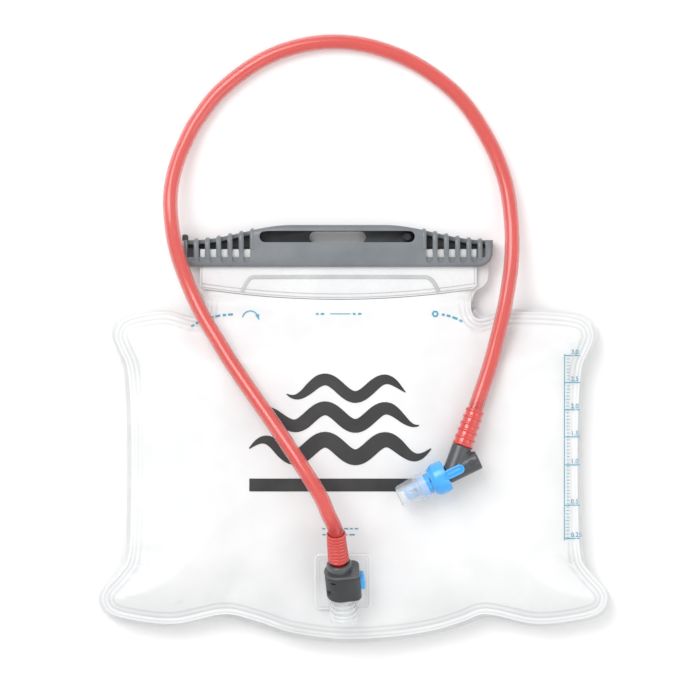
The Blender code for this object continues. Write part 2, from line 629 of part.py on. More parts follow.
def port(hole):
    seat = empty("port_seat", PORT_SEAT, (PORT_TILT, 0, 0))
    bpy.context.view_layer.update()
    half = (PATCH_SIZE[0] / 2, PATCH_SIZE[1] / 2)
    patch = flat_plate("port_patch", rounded_rectangle((-half[0], -half[1]), half, PATCH_CORNER), GAP, GAP + PATCH,
                       CLEAR, seat)
    combine(patch, "DIFFERENCE", hole)

    stub = empty("stub_axis", STUB_START, (-math.pi / 2 + STUB_RISE, 0, STUB_LEAN))
    profile = [(0, SPIGOT_END), (SPIGOT_RADIUS - 0.8 * mm, SPIGOT_END), (SPIGOT_RADIUS, SPIGOT_END - 0.8 * mm),
               (SPIGOT_RADIUS, 23.4 * mm), (SPIGOT_RADIUS - 0.8 * mm, 23.4 * mm),
               (SPIGOT_RADIUS - 0.8 * mm, 21.8 * mm), (SPIGOT_RADIUS, 21.8 * mm), (SPIGOT_RADIUS, 21.2 * mm),
               (SPIGOT_RADIUS - 0.7 * mm, 21.2 * mm), (SPIGOT_RADIUS - 0.7 * mm, 19.2 * mm),
               (SPIGOT_RADIUS, 19.2 * mm), (SPIGOT_RADIUS, SPIGOT_START)]
    rib_height, rib_gap = 1.7 * mm, 1.5 * mm
    rib_root = SPIGOT_RADIUS + 1 * mm
    for n in range(4):
        top = SPIGOT_START - 0.5 * mm - n * (rib_height + rib_gap)
        radius = HUB_RADIUS - 1.6 * mm + 0.5 * mm * n
        profile += [(radius, top), (radius, top - rib_height), (rib_root, top - rib_height),
                    (rib_root, top - rib_height - rib_gap)]
    profile += [(HUB_RADIUS, 1.2 * mm - 0.3 * mm), (HUB_RADIUS, -3 * mm), (0, -3 * mm)]
    base = turned("port_base", profile, CLEAR, stub)
    lift = GAP + PATCH + GAP
    flange = rod("flange", FLANGE_RADIUS, flange_point(lift - 1 * mm), flange_point(lift + FLANGE), sides=32)
    below = block("below_patch", (-40 * mm, -60 * mm, lift - 30 * mm), (40 * mm, 60 * mm, lift), None, seat)
    bore = rod("port_bore", BORE_RADIUS, (0, 0, SPRING_LEDGE), (0, 0, SEAT_START), None, stub)
    mouth = rod("port_mouth", SEAT_RADIUS, (0, 0, 7 * mm), (0, 0, SPIGOT_END + 2 * mm), None, stub)
    combine(base, "UNION", flange)
    combine(base, "DIFFERENCE", below, bore, mouth, hole)

    ring("spigot_o_ring", SPIGOT_RADIUS - 0.15 * mm, 0.42 * mm, 22.6 * mm, RUBBER, stub)
    tip = SPIGOT_END - PLUNGER_TRAVEL
    turned("shutoff_plunger", [(0, tip), (1.6 * mm, tip), (1.6 * mm, 20.4 * mm), (2.9 * mm, 20.4 * mm),
                               (2.9 * mm, 18.8 * mm), (0, 18.8 * mm)], BLUE, stub, sides=16)
    ring("plunger_seal", 2.42 * mm, 0.45 * mm, 20.4 * mm + 0.45 * mm + 0.1 * mm, RUBBER, stub)
    coil("shutoff_spring", 2.6 * mm, 0.32 * mm, SPRING_LEDGE + 0.65 * mm, 18.8 * mm - 0.65 * mm, 4, stub)
    return stub


def coil(name, radius, wire, start, end, turns, parent, to_axis=None):
    """A compression spring about the parent's Z, or about another axis by a matrix."""
    count = 10 * turns
    points = [Vector((radius * math.cos(2 * math.pi * turns * n / count),
                      radius * math.sin(2 * math.pi * turns * n / count),
                      start + (end - start) * n / count)) for n in range(count + 1)]
    if to_axis:
        points = [to_axis @ p for p in points]
    return tube(name, points, wire, STEEL, parent, resolution=1)


# ---------------------------------------------------------------- quick connector

def connector(stub):
    start, end = HOUSING_START, HOUSING_START + HOUSING_LENGTH
    left = arc(-0.6 * mm, 0, HOUSING_HALF, 90, 270, 10)
    corner = 4 * mm
    right_x = HOUSING_RIGHT - corner
    outline = (left + arc(right_x, -HOUSING_HALF + corner, corner, 270, 360, 4)
               + arc(right_x, HOUSING_HALF - corner, corner, 0, 90, 4))
    housing = flat_plate("connector_housing", outline, start, end, DARK, stub)
    rounded(housing, 1.2 * mm, 2, 50)
    neck_end = end + 2 * mm
    neck = rod("housing_neck", COLLAR_RADIUS - 0.95 * mm, (0, 0, end - 1 * mm), (0, 0, neck_end), None, stub)
    spigot_room = rod("housing_bore", SPIGOT_RADIUS + 0.4 * mm, (0, 0, start - 2 * mm),
                      (0, 0, SPIGOT_END + 1.4 * mm), None, stub)
    passage = rod("housing_passage", 3 * mm, (0, 0, SPIGOT_END + 1 * mm), (0, 0, neck_end + 2 * mm), None, stub)
    pin = rod("housing_pin", 1.2 * mm, (0, 0, SPIGOT_END - PLUNGER_TRAVEL + GAP), (0, 0, SPIGOT_END + 3 * mm),
              None, stub, 12)
    web = block("housing_web", (-4 * mm, -0.5 * mm, SPIGOT_END + 1.6 * mm), (4 * mm, 0.5 * mm, SPIGOT_END + 3 * mm),
                None, stub)
    middle = (start + end) / 2
    pocket_floor = HOUSING_RIGHT - BUTTON_PROUD - BUTTON_TRAVEL - 0.5 * mm
    half_length = BUTTON_LENGTH / 2
    pocket = block("button_pocket", (pocket_floor, -4.7 * mm, middle - half_length - GAP),
                   (HOUSING_RIGHT + 5 * mm, 4.7 * mm, middle + half_length + GAP), None, stub)
    latch_z = 20.2 * mm
    latch_slot = block("latch_slot", (-HOUSING_HALF - 3.5 * mm, -LATCH_HALF - GAP, latch_z - LATCH / 2 - GAP),
                       (HOUSING_RIGHT - 2.4 * mm, LATCH_HALF + GAP, latch_z + LATCH / 2 + GAP), None, stub)
    combine(housing, "UNION", neck)
    combine(housing, "DIFFERENCE", spigot_room, passage, pocket, latch_slot)
    combine(housing, "UNION", pin, web)

    button_floor = pocket_floor + BUTTON_TRAVEL + GAP
    button = block("release_button", (button_floor, -4.4 * mm, middle - half_length),
                   (HOUSING_RIGHT + BUTTON_PROUD, 4.4 * mm, middle + half_length), BLUE, stub)
    rounded(button, 1.2 * mm, 2, 40)
    spring_z = middle + 1.6 * mm
    room = rod("button_spring_room", 1.9 * mm, (button_floor - 1 * mm, 0, spring_z),
               (HOUSING_RIGHT, 0, spring_z), None, stub, 16)
    combine(button, "DIFFERENCE", room)
    along_x = Matrix.Translation((0, 0, spring_z)) @ Matrix.Rotation(math.pi / 2, 4, "Y")
    coil("button_spring", 1.3 * mm, 0.22 * mm, pocket_floor + 0.4 * mm, HOUSING_RIGHT - 0.4 * mm, 4, stub, along_x)

    plate = block("latch_plate", (-HOUSING_HALF, -LATCH_HALF, latch_z - LATCH / 2),
                  (button_floor - GAP, LATCH_HALF, latch_z + LATCH / 2), BLUE, stub)
    reach = SPIGOT_RADIUS + 0.4 * mm
    eye = flat_plate("latch_eye", stadium((-reach, reach + BUTTON_TRAVEL + 0.1 * mm), (-reach, reach)),
                     latch_z - 2 * mm, latch_z + 2 * mm, None, stub)
    combine(plate, "DIFFERENCE", eye)
    return neck_end


# ---------------------------------------------------------------- tube and cuffs

def cuff(name, path, ribs, parent=None):
    """A ribbed, tapering cuff round the tube, along a short stretch of its path."""
    shape = bmesh.new()
    sides = 14
    steps = ribs * 2
    lengths = [0.0]
    for a, b in zip(path, path[1:]):
        lengths.append(lengths[-1] + (b - a).length)

    def frame_at(distance):
        n = 0
        while n < len(path) - 2 and lengths[n + 1] < distance:
            n += 1
        share = (distance - lengths[n]) / (lengths[n + 1] - lengths[n])
        along = (path[n + 1] - path[n]).normalized()
        return path[n].lerp(path[n + 1], share), along

    outer, inner = [], []
    for k in range(steps + 1):
        place, along = frame_at(lengths[-1] * k / steps)
        side = along.cross(Vector((0, 0, 1))).normalized()
        up = side.cross(along)
        taper = CUFF_RADIUS - 0.7 * mm * k / steps
        radius = taper if k % 2 == 0 else taper - 0.35 * mm
        for rows, r in ((outer, radius), (inner, TUBE_RADIUS + GAP)):
            rows.append([shape.verts.new(place + (side * math.cos(a) + up * math.sin(a)) * r)
                         for a in (2 * math.pi * m / sides for m in range(sides))])
    for m in range(sides):
        w = (m + 1) % sides
        for k in range(steps):
            shape.faces.new((outer[k][m], outer[k][w], outer[k + 1][w], outer[k + 1][m]))
            shape.faces.new((inner[k][m], inner[k + 1][m], inner[k + 1][w], inner[k][w]))
        shape.faces.new((outer[0][m], inner[0][m], inner[0][w], outer[0][w]))
        shape.faces.new((outer[-1][m], outer[-1][w], inner[-1][w], inner[-1][m]))
    bmesh.ops.recalc_face_normals(shape, faces=shape.faces)
    mesh = bpy.data.meshes.new(name)
    shape.to_mesh(mesh)
    shape.free()
    made = new_object(name, mesh, RED)
    smooth_shade(made, 20)
    return made


def drink_tube(stub, valve, neck_end):
    """The tube from the connector's neck to the elbow, straight out of each for a few diameters."""
    bpy.context.view_layer.update()
    leave = [stub.matrix_world @ Vector((0, 0, neck_end + GAP + s * mm)) for s in (0, 9, 18, 27)]
    arm = elbow_arm()
    enter = [valve.matrix_world @ (arm * (ARM_END + GAP + s * mm)) for s in (20, 10, 0)]
    lead = [Vector((-15.2 * mm, -47.5 * mm, 65.2 * mm)), Vector((-18.8 * mm, -39 * mm, 65.2 * mm))]
    route = leave + lead + [Vector(p) * mm for p in TUBE_ROUTE] + enter
    path = evenly(smooth_path(route, 8), 10 * mm)
    made = tube("drink_tube", path, TUBE_RADIUS, RED)
    fine = evenly(path, 2 * mm)
    first = round(4.4 * mm / (2 * mm)) + 1
    cuff("lower_cuff", fine[first:first + round(LOWER_CUFF_LENGTH / (2 * mm)) + 1], 8)
    cuff("upper_cuff", fine[::-1][1:round(UPPER_CUFF_LENGTH / (2 * mm)) + 1], 5)
    turned("tube_collar", [(TUBE_RADIUS + GAP, neck_end + 3.6 * mm), (COLLAR_RADIUS - 0.75 * mm, neck_end + 3.6 * mm),
                           (COLLAR_RADIUS, neck_end + 3 * mm), (COLLAR_RADIUS, neck_end + GAP),
                           (TUBE_RADIUS + GAP, neck_end + GAP)], DARK, stub, closed=True)
    return made


# ---------------------------------------------------------------- bite valve

ARM_ANGLE = math.radians(136)      # between the valve's tip and the elbow's arm
ARM_END = 15.6 * mm


def elbow_arm():
    """Direction of the elbow's arm in the valve's own space: back, and towards the bar."""
    drop = math.radians(8)
    flat = Vector((0, -math.sin(ARM_ANGLE), math.cos(ARM_ANGLE)))
    return (flat * math.cos(drop) + Vector((1, 0, 0)) * math.sin(drop)).normalized()


def bite_valve():
    valve = empty("valve_axis", VALVE_PIVOT, (0, math.pi / 2, VALVE_TURN))
    front = ELBOW_FRONT
    elbow = turned("elbow", [(0, front + 8 * mm), (STEM_RADIUS, front + 8 * mm), (STEM_RADIUS, front + 6.4 * mm),
                             (STEM_RADIUS - 0.7 * mm, front + 6.4 * mm), (STEM_RADIUS - 0.7 * mm, front + 5 * mm),
                             (STEM_RADIUS, front + 5 * mm), (STEM_RADIUS, front), (ELBOW_RADIUS, front),
                             (ELBOW_RADIUS, -ELBOW_BACK + 1 * mm), (ELBOW_RADIUS - 1 * mm, -ELBOW_BACK),
                             (0, -ELBOW_BACK)], DARK, valve)
    direction = elbow_arm()
    arm = rod("elbow_arm", ARM_RADIUS, (0, 0, 0), direction * ARM_END, None, valve)
    arm_bore = rod("elbow_arm_bore", 2.5 * mm, (0, 0, 0), direction * (ARM_END + 5 * mm), None, valve, 16)
    bore = rod("elbow_bore", 2.5 * mm, (0, 0, -3 * mm), (0, 0, front + 12 * mm), None, valve, 16)
    combine(elbow, "UNION", arm)
    combine(elbow, "DIFFERENCE", arm_bore, bore)
    ring("elbow_o_ring", STEM_RADIUS - 0.12 * mm, 0.38 * mm, front + 5.7 * mm, RUBBER, valve)

    ring_start, ring_end = front + GAP, front + GAP + RING_LENGTH
    inner = STEM_RADIUS + 0.4 * mm
    grip = turned("twist_ring", [(RING_RADIUS - 1 * mm, ring_end), (RING_RADIUS, ring_end - 1 * mm),
                                 (RING_RADIUS, ring_start + 1 * mm), (RING_RADIUS - 1 * mm, ring_start),
                                 (inner, ring_start), (inner, ring_end)], BLUE, valve, 32, closed=True)
    lever = block("lever", (-RING_RADIUS - 0.4 * mm, -LEVER_WIDTH / 2, ring_start + 2 * mm - LEVER_LENGTH),
                  (-ELBOW_RADIUS - 1.2 * mm, LEVER_WIDTH / 2, ring_start + 2 * mm), None, valve)
    rounded(lever, 0.8 * mm, 2, 40)
    combine(grip, "UNION", lever)

    barrel_start, barrel_end = ring_end + GAP, ring_end + 7 * mm
    barrel_inner = 2.6 * mm
    turned("valve_barrel", [(6.2 * mm, barrel_end), (6.2 * mm, barrel_start), (barrel_inner, barrel_start),
                            (barrel_inner, barrel_end)], BLUE, valve, closed=True)
    core_start, core_end = barrel_end + GAP, VALVE_TIP - 4 * mm
    turned("bite_core", [(3 * mm, core_end), (4.4 * mm, core_end - 1.5 * mm), (4.4 * mm, core_start),
                         (barrel_inner, core_start), (barrel_inner, core_end)], BLUE, valve, closed=True)
    wide, narrow = 6.2 * mm + SLIDING, 4.4 * mm + SLIDING
    turned("bite_sleeve", [(1.2 * mm, VALVE_TIP), (5.4 * mm, VALVE_TIP), (7 * mm, VALVE_TIP - 1.8 * mm),
                           (7.2 * mm, VALVE_TIP - 6 * mm), (SLEEVE_RADIUS, SLEEVE_START + 7 * mm),
                           (SLEEVE_RADIUS, SLEEVE_START), (wide, SLEEVE_START), (wide, barrel_end + GAP),
                           (narrow, barrel_end + 1.2 * mm), (narrow, core_end + SLIDING),
                           (1.2 * mm, core_end + SLIDING)], SILICONE, valve, closed=True)
    return valve


port_hole = reservoir()
for lip, side in (("front_mouth_plate", 1), ("back_mouth_plate", -1)):
    mouth_plate(lip, side)
slide_bar()
stub_axis = port(port_hole)
tube_start = connector(stub_axis)
valve_axis = bite_valve()
drink_tube(stub_axis, valve_axis, tube_start)
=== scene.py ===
# %% [markdown]
# # A hydration bladder
#
# The object is a flat bag of frosted film for drinking water. A grey bar slides over its mouth and
# closes it, a red tube plugs into a port near the bottom, and a blue valve at the tube's end is bitten
# to drink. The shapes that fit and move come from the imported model, which is loaded here and never
# changed. This script makes what the eye sees: soft film, moulded plastic, a clear hose and ink.
# Every size is in metres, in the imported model's own frame.

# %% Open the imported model
import json
import math

import bmesh
import bpy
import numpy as np
from mathutils import Euler, Matrix, Vector

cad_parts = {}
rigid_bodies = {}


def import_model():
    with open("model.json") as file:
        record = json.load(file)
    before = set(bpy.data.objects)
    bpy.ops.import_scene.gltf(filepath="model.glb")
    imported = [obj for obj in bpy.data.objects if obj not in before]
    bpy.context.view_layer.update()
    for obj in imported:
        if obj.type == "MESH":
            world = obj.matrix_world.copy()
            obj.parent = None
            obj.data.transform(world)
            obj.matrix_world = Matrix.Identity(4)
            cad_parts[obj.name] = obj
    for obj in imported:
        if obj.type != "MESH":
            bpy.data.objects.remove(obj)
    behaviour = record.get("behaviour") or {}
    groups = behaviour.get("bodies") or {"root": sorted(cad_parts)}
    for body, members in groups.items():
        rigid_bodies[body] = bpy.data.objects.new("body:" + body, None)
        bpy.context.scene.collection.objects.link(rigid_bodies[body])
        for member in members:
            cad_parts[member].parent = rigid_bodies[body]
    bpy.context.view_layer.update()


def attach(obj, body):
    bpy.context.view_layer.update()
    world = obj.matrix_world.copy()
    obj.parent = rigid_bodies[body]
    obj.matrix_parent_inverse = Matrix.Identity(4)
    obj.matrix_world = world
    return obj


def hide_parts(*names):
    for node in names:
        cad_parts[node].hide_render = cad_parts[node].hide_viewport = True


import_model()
mm = 0.001

# %% [markdown]
# ## Where we look from
#
# The bag lies on a table and is seen from straight above, so the camera hangs over it and looks down.
# A long lens from far away keeps the near tube and the far film at almost the same scale. The
# distance follows from the width that has to fit into the frame.

# %% Camera
VIEW_CENTRE = Vector((-2.7 * mm, 48.5 * mm, 15 * mm))
VIEW_WIDTH = 416.5 * mm
LENS = 200
SENSOR = 36

camera_data = bpy.data.cameras.new("overhead")
camera_data.lens = LENS
camera_data.sensor_width = SENSOR
camera = bpy.data.objects.new("overhead", camera_data)
camera.location = VIEW_CENTRE + Vector((0, 0, VIEW_WIDTH * LENS / SENSOR))
bpy.context.scene.collection.objects.link(camera)
bpy.context.scene.camera = camera
print("camera height, m:", round(camera.location.z, 3))

# %% [markdown]
# ## Small tools
#
# Most pieces are one of four things: a lathe shape, a flat outline with a thickness, a loft between
# outlines, or a tube along a path. Each has a short function. A finished piece is a plain mesh at the
# origin, so `settled` applies whatever modifiers a piece still has, and `placed` moves its points and
# not its object.

# %% Meshes and their finish
def new_piece(name, verts, faces, sharp=35):
    mesh = bpy.data.meshes.new(name)
    mesh.from_pydata([tuple(v) for v in verts], [], faces)
    mesh.validate()
    shade(mesh, sharp)
    piece = bpy.data.objects.new(name, mesh)
    bpy.context.scene.collection.objects.link(piece)
    return piece


def shade(mesh, sharp=35):
    mesh.shade_smooth()
    mesh.set_sharp_from_angle(angle=math.radians(sharp))


def placed(piece, matrix):
    piece.data.transform(matrix)
    return piece


def settled(piece, sharp=35):
    """The piece with its modifiers applied, as a plain mesh of its own."""
    depsgraph = bpy.context.evaluated_depsgraph_get()
    mesh = bpy.data.meshes.new_from_object(piece.evaluated_get(depsgraph))
    mesh.name = piece.name
    piece.modifiers.clear()
    if piece.type == "MESH":
        piece.data = mesh
        shade(mesh, sharp)
        return piece
    name = piece.name
    bpy.data.objects.remove(piece, do_unlink=True)
    made = bpy.data.objects.new(name, mesh)
    bpy.context.scene.collection.objects.link(made)
    shade(mesh, sharp)
    return made


def joined(name, *pieces):
    """Several settled pieces as one, their materials kept."""
    shape = bmesh.new()
    finishes = []
    for piece in pieces:
        part = bmesh.new()
        part.from_mesh(piece.data)
        for face in part.faces:
            finish = piece.data.materials[face.material_index] if piece.data.materials else None
            if finish not in finishes:
                finishes.append(finish)
            face.material_index = finishes.index(finish)
        mesh = bpy.data.meshes.new("part")
        part.to_mesh(mesh)
        part.free()
        shape.from_mesh(mesh)
        bpy.data.meshes.remove(mesh)
        bpy.data.objects.remove(piece, do_unlink=True)
    mesh = bpy.data.meshes.new(name)
    shape.to_mesh(mesh)
    shape.free()
    for finish in finishes:
        if finish:
            mesh.materials.append(finish)
    made = bpy.data.objects.new(name, mesh)
    bpy.context.scene.collection.objects.link(made)
    shade(mesh)
    return made


def cut(piece, operation, *tools, solver="EXACT"):
    """Cuts, joins or intersects a piece with others, which are used up."""
    for tool in tools:
        change = piece.modifiers.new(tool.name, "BOOLEAN")
        change.operation = operation
        change.solver = solver
        change.object = tool
    settled(piece)
    for tool in tools:
        bpy.data.objects.remove(tool, do_unlink=True)
    return piece


def softened(piece, width, segments=3, angle=40):
    """The piece with its sharp edges rounded off."""
    bevel = piece.modifiers.new("rounding", "BEVEL")
    bevel.width = width
    bevel.segments = segments
    bevel.limit_method = "ANGLE"
    bevel.angle_limit = math.radians(angle)
    bevel.harden_normals = False
    return settled(piece)


def mounted(piece, body, finish=None, replaced=()):
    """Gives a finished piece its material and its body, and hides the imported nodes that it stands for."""
    if finish:
        piece.data.materials.clear()
        piece.data.materials.append(finish)
    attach(piece, body)
    if replaced:
        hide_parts(*replaced)
    print(f"{piece.name}: {len(piece.data.polygons)} faces on {body}")
    return piece


# %% Outlines, lathe shapes, plates and lofts
def arc(cx, cy, radius, start, end, steps):
    """Points of an arc, angles in degrees."""
    angles = [math.radians(start + (end - start) * n / steps) for n in range(steps + 1)]
    return [(cx + radius * math.cos(a), cy + radius * math.sin(a)) for a in angles]


def filleted(points, radius, steps=4):
    """An outline or profile with its corners rounded."""
    made = []
    for n, point in enumerate(points):
        here, before, after = Vector(point), Vector(points[n - 1]), Vector(points[(n + 1) % len(points)])
        back, on = before - here, after - here
        reach = min(radius, back.length * 0.49, on.length * 0.49)
        start, end = here + back.normalized() * reach, here + on.normalized() * reach
        for k in range(steps + 1):
            t = k / steps
            made.append(tuple(start * (1 - t) ** 2 + here * 2 * t * (1 - t) + end * t * t))
    return made


def rounded_rectangle(width, height, radius, steps=8):
    """A closed outline about the origin, counter-clockwise."""
    x, y = width / 2 - radius, height / 2 - radius
    return (arc(x, y, radius, 0, 90, steps) + arc(-x, y, radius, 90, 180, steps)
            + arc(-x, -y, radius, 180, 270, steps) + arc(x, -y, radius, 270, 360, steps))


def stadium(xs, ys, steps=14):
    """A closed outline with two round ends, counter-clockwise."""
    radius, middle = (ys[1] - ys[0]) / 2, (ys[0] + ys[1]) / 2
    return (arc(xs[1] - radius, middle, radius, -90, 90, steps)
            + arc(xs[0] + radius, middle, radius, 90, 270, steps))


def loft(name, loops):
    """A closed solid through loops of points, each with as many points, the first and last filled.
    The loops run counter-clockwise and upwards."""
    count = len(loops[0])
    verts = [p for loop in loops for p in loop]
    faces = [tuple(range(count))[::-1]]
    for k in range(len(loops) - 1):
        for n in range(count):
            m = (n + 1) % count
            faces.append((k * count + n, k * count + m, (k + 1) * count + m, (k + 1) * count + n))
    top = (len(loops) - 1) * count
    faces.append(tuple(range(top, top + count)))
    return new_piece(name, verts, faces)


def plate(name, outline, low, high):
    """A flat outline between two heights."""
    return loft(name, [[(x, y, z) for x, y in outline] for z in (low, high)])


def pillow(name, shape, low, high, edge, steps, lean=1.0):
    """A plate whose outline comes from shape(inset), with its lower and upper edges rolled over.
    A lean above 1 makes the roll wider than it is high, which swells the faces."""
    turns = [math.pi / 2 * n / steps for n in range(steps + 1)]
    rolls = [(edge * lean * (1 - math.sin(a)), edge * (1 - math.cos(a))) for a in turns]
    loops = [[(x, y, low + lift) for x, y in shape(inset)] for inset, lift in rolls]
    loops += [[(x, y, high - lift) for x, y in shape(inset)] for inset, lift in rolls[::-1]]
    return loft(name, loops)


def turned(name, profile, sides=64):
    """A closed profile of (radius, height), counter-clockwise, turned about Z."""
    verts, rows = [], []
    for radius, height in profile:
        if radius < 1e-7:
            rows.append([len(verts)] * sides)
            verts.append((0, 0, height))
        else:
            rows.append(list(range(len(verts), len(verts) + sides)))
            verts += [(radius * math.cos(a), radius * math.sin(a), height)
                      for a in (2 * math.pi * n / sides for n in range(sides))]
    faces = []
    for k in range(len(rows)):
        low, high = rows[k], rows[(k + 1) % len(rows)]
        if profile[k][0] < 1e-7 and profile[(k + 1) % len(rows)][0] < 1e-7:
            continue
        for n in range(sides):
            m = (n + 1) % sides
            corners = [low[n], low[m], high[m], high[n]]
            faces.append(tuple(dict.fromkeys(corners)))
    return new_piece(name, verts, faces)


def rod(name, radius, start, end):
    """A cylinder between two points."""
    start, end = Vector(start), Vector(end)
    turn = (end - start).to_track_quat("Z", "Y").to_matrix().to_4x4()
    length = (end - start).length
    made = turned(name, [(0, 0), (radius, 0), (radius, length), (0, length)], 48)
    return placed(made, Matrix.Translation(start) @ turn)


def block(name, low, high):
    (x0, y0, z0), (x1, y1, z1) = low, high
    return plate(name, [(x0, y0), (x1, y0), (x1, y1), (x0, y1)], z0, z1)


# %% Smooth paths and tubes
def smooth_path(points, per_span):
    """A centripetal Catmull-Rom curve through the points, with this many steps in each span."""
    points = [Vector(p) for p in points]
    ends = [2 * points[0] - points[1]] + points + [2 * points[-1] - points[-2]]
    times = [0.0]
    for a, b in zip(ends, ends[1:]):
        times.append(times[-1] + max((b - a).length, 1e-9) ** 0.5)
    tangents = [(ends[n + 1] - ends[n - 1]) / (times[n + 1] - times[n - 1]) for n in range(1, len(ends) - 1)]
    path = []
    for n in range(len(points) - 1):
        span = times[n + 2] - times[n + 1]
        for step in range(per_span):
            t = step / per_span
            path.append(points[n] * (2 * t**3 - 3 * t**2 + 1) + points[n + 1] * (3 * t**2 - 2 * t**3)
                        + tangents[n] * span * (t**3 - 2 * t**2 + t)
                        + tangents[n + 1] * span * (t**3 - t**2))
    return path + [points[-1]]


def evenly(path, spacing):
    """The path again, with its points spaced evenly."""
    lengths = [0.0]
    for a, b in zip(path, path[1:]):
        lengths.append(lengths[-1] + (b - a).length)
    count = max(2, round(lengths[-1] / spacing))
    even, n = [], 0
    for k in range(count + 1):
        want = lengths[-1] * k / count
        while n < len(path) - 2 and lengths[n + 1] < want:
            n += 1
        share = (want - lengths[n]) / (lengths[n + 1] - lengths[n])
        even.append(path[n].lerp(path[n + 1], min(share, 1)))
    return even


def length_of(path):
    return sum((b - a).length for a, b in zip(path, path[1:]))


def frames_along(path):
    """A side and an up direction at each point, carried along without twist."""
    ahead = [(path[min(n + 1, len(path) - 1)] - path[max(n - 1, 0)]).normalized() for n in range(len(path))]
    side = ahead[0].cross(Vector((0, 0, 1))).normalized()
    made = []
    for direction in ahead:
        side = (side - direction * side.dot(direction)).normalized()
        made.append((side, side.cross(direction)))
    return made


def pipe(name, path, radius, bore=0.0, sides=28):
    """A tube along a path. With a bore it is hollow, and its wall closes its ends."""
    verts, faces = [], []
    radii = (radius, bore) if bore else (radius,)
    for (side, up), place in zip(frames_along(path), path):
        for r in radii:
            verts += [place + (side * math.cos(a) + up * math.sin(a)) * r
                      for a in (2 * math.pi * m / sides for m in range(sides))]
    row = sides * len(radii)
    for k in range(len(path) - 1):
        for m in range(sides):
            w = (m + 1) % sides
            a, b = k * row, (k + 1) * row
            faces.append((a + m, b + m, b + w, a + w))
            if bore:
                faces.append((a + sides + m, a + sides + w, b + sides + w, b + sides + m))
    end = (len(path) - 1) * row
    if bore:
        for m in range(sides):
            w = (m + 1) % sides
            faces.append((m, w, sides + w, sides + m))
            faces.append((end + w, end + m, end + sides + m, end + sides + w))
    else:
        faces.append(tuple(range(sides)))
        faces.append(tuple(range(end, end + sides))[::-1])
    made = new_piece(name, verts, faces)
    fix_outward(made)
    return made


def fix_outward(piece):
    """Turns the faces of a closed mesh outwards."""
    shape = bmesh.new()
    shape.from_mesh(piece.data)
    bmesh.ops.remove_doubles(shape, verts=shape.verts, dist=1e-7)
    bmesh.ops.recalc_face_normals(shape, faces=shape.faces)
    if shape.calc_volume(signed=True) < 0:
        bmesh.ops.reverse_faces(shape, faces=shape.faces)
    shape.to_mesh(piece.data)
    shape.free()
    shade(piece.data)

# %% [markdown]
# ## Finishes
#
# None of these materials is one flat colour. Moulded plastic has a fine spark-eroded grain and its
# gloss wanders a little; frosted film is cloudy, with faint streaks along the roll it was cut from.
# Both effects are used by many materials, so each is a shader node group. The group only gives out
# colours, masks and heights, and each material keeps its own shader, because gloss, clarity and coat
# belong to one material and not to the effect.

# %% Shader groups
def group_sockets(group, inputs, outputs):
    """Adds named sockets: inputs as (name, kind, default), outputs as (name, kind)."""
    for name, kind, default in inputs:
        made = group.interface.new_socket(name, in_out="INPUT", socket_type="NodeSocket" + kind)
        if default is not None:
            made.default_value = default
    for name, kind in outputs:
        group.interface.new_socket(name, in_out="OUTPUT", socket_type="NodeSocket" + kind)
    start, end = group.nodes.new("NodeGroupInput"), group.nodes.new("NodeGroupOutput")
    start.location.x, end.location.x = -900, 600
    return start.outputs, end.inputs


def noise(tree, vector, scale, detail, factor):
    """A noise texture whose scale is a socket times a factor."""
    made = tree.nodes.new("ShaderNodeTexNoise")
    made.inputs["Detail"].default_value = detail
    tree.links.new(vector, made.inputs["Vector"])
    times = tree.nodes.new("ShaderNodeMath")
    times.operation = "MULTIPLY"
    tree.links.new(scale, times.inputs[0])
    times.inputs[1].default_value = factor
    tree.links.new(times.outputs[0], made.inputs["Scale"])
    return made.outputs["Fac"]


def spread(tree, value, low, high, from_low=0.3, from_high=0.7):
    """Maps a noise value on to a range; low and high are numbers or sockets."""
    made = tree.nodes.new("ShaderNodeMapRange")
    made.inputs["From Min"].default_value = from_low
    made.inputs["From Max"].default_value = from_high
    tree.links.new(value, made.inputs["Value"])
    for name, end in (("To Min", low), ("To Max", high)):
        if isinstance(end, (int, float)):
            made.inputs[name].default_value = end
        else:
            tree.links.new(end, made.inputs[name])
    return made.outputs["Result"]


def blend_colours(tree, share, first, second):
    made = tree.nodes.new("ShaderNodeMix")
    made.data_type = "RGBA"
    tree.links.new(share, made.inputs["Factor"])
    for socket, colour in ((made.inputs[6], first), (made.inputs[7], second)):
        if isinstance(colour, tuple):
            socket.default_value = (*colour, 1)
        else:
            tree.links.new(colour, socket)
    return made.outputs[2]


def moulded_surface_group():
    """Slow wandering of colour and gloss, and a fine grain as a height."""
    group = bpy.data.node_groups.new("moulded_surface", "ShaderNodeTree")
    given, out = group_sockets(
        group,
        [("Vector", "Vector", None), ("Wander", "Float", 40.0), ("Grain", "Float", 2400.0),
         ("Deep", "Color", None), ("Pale", "Color", None), ("Smooth", "Float", 0.3), ("Rough", "Float", 0.5)],
        [("Colour", "Color"), ("Roughness", "Float"), ("Height", "Float")])
    slow = noise(group, given["Vector"], given["Wander"], 4.0, factor=1.0)
    patchy = noise(group, given["Vector"], given["Wander"], 5.0, factor=4.3)
    grain = noise(group, given["Vector"], given["Grain"], 2.0, factor=1.0)
    group.links.new(blend_colours(group, spread(group, slow, 0.0, 1.0), given["Deep"], given["Pale"]),
                    out["Colour"])
    group.links.new(spread(group, patchy, given["Smooth"], given["Rough"]), out["Roughness"])
    group.links.new(grain, out["Height"])
    return group


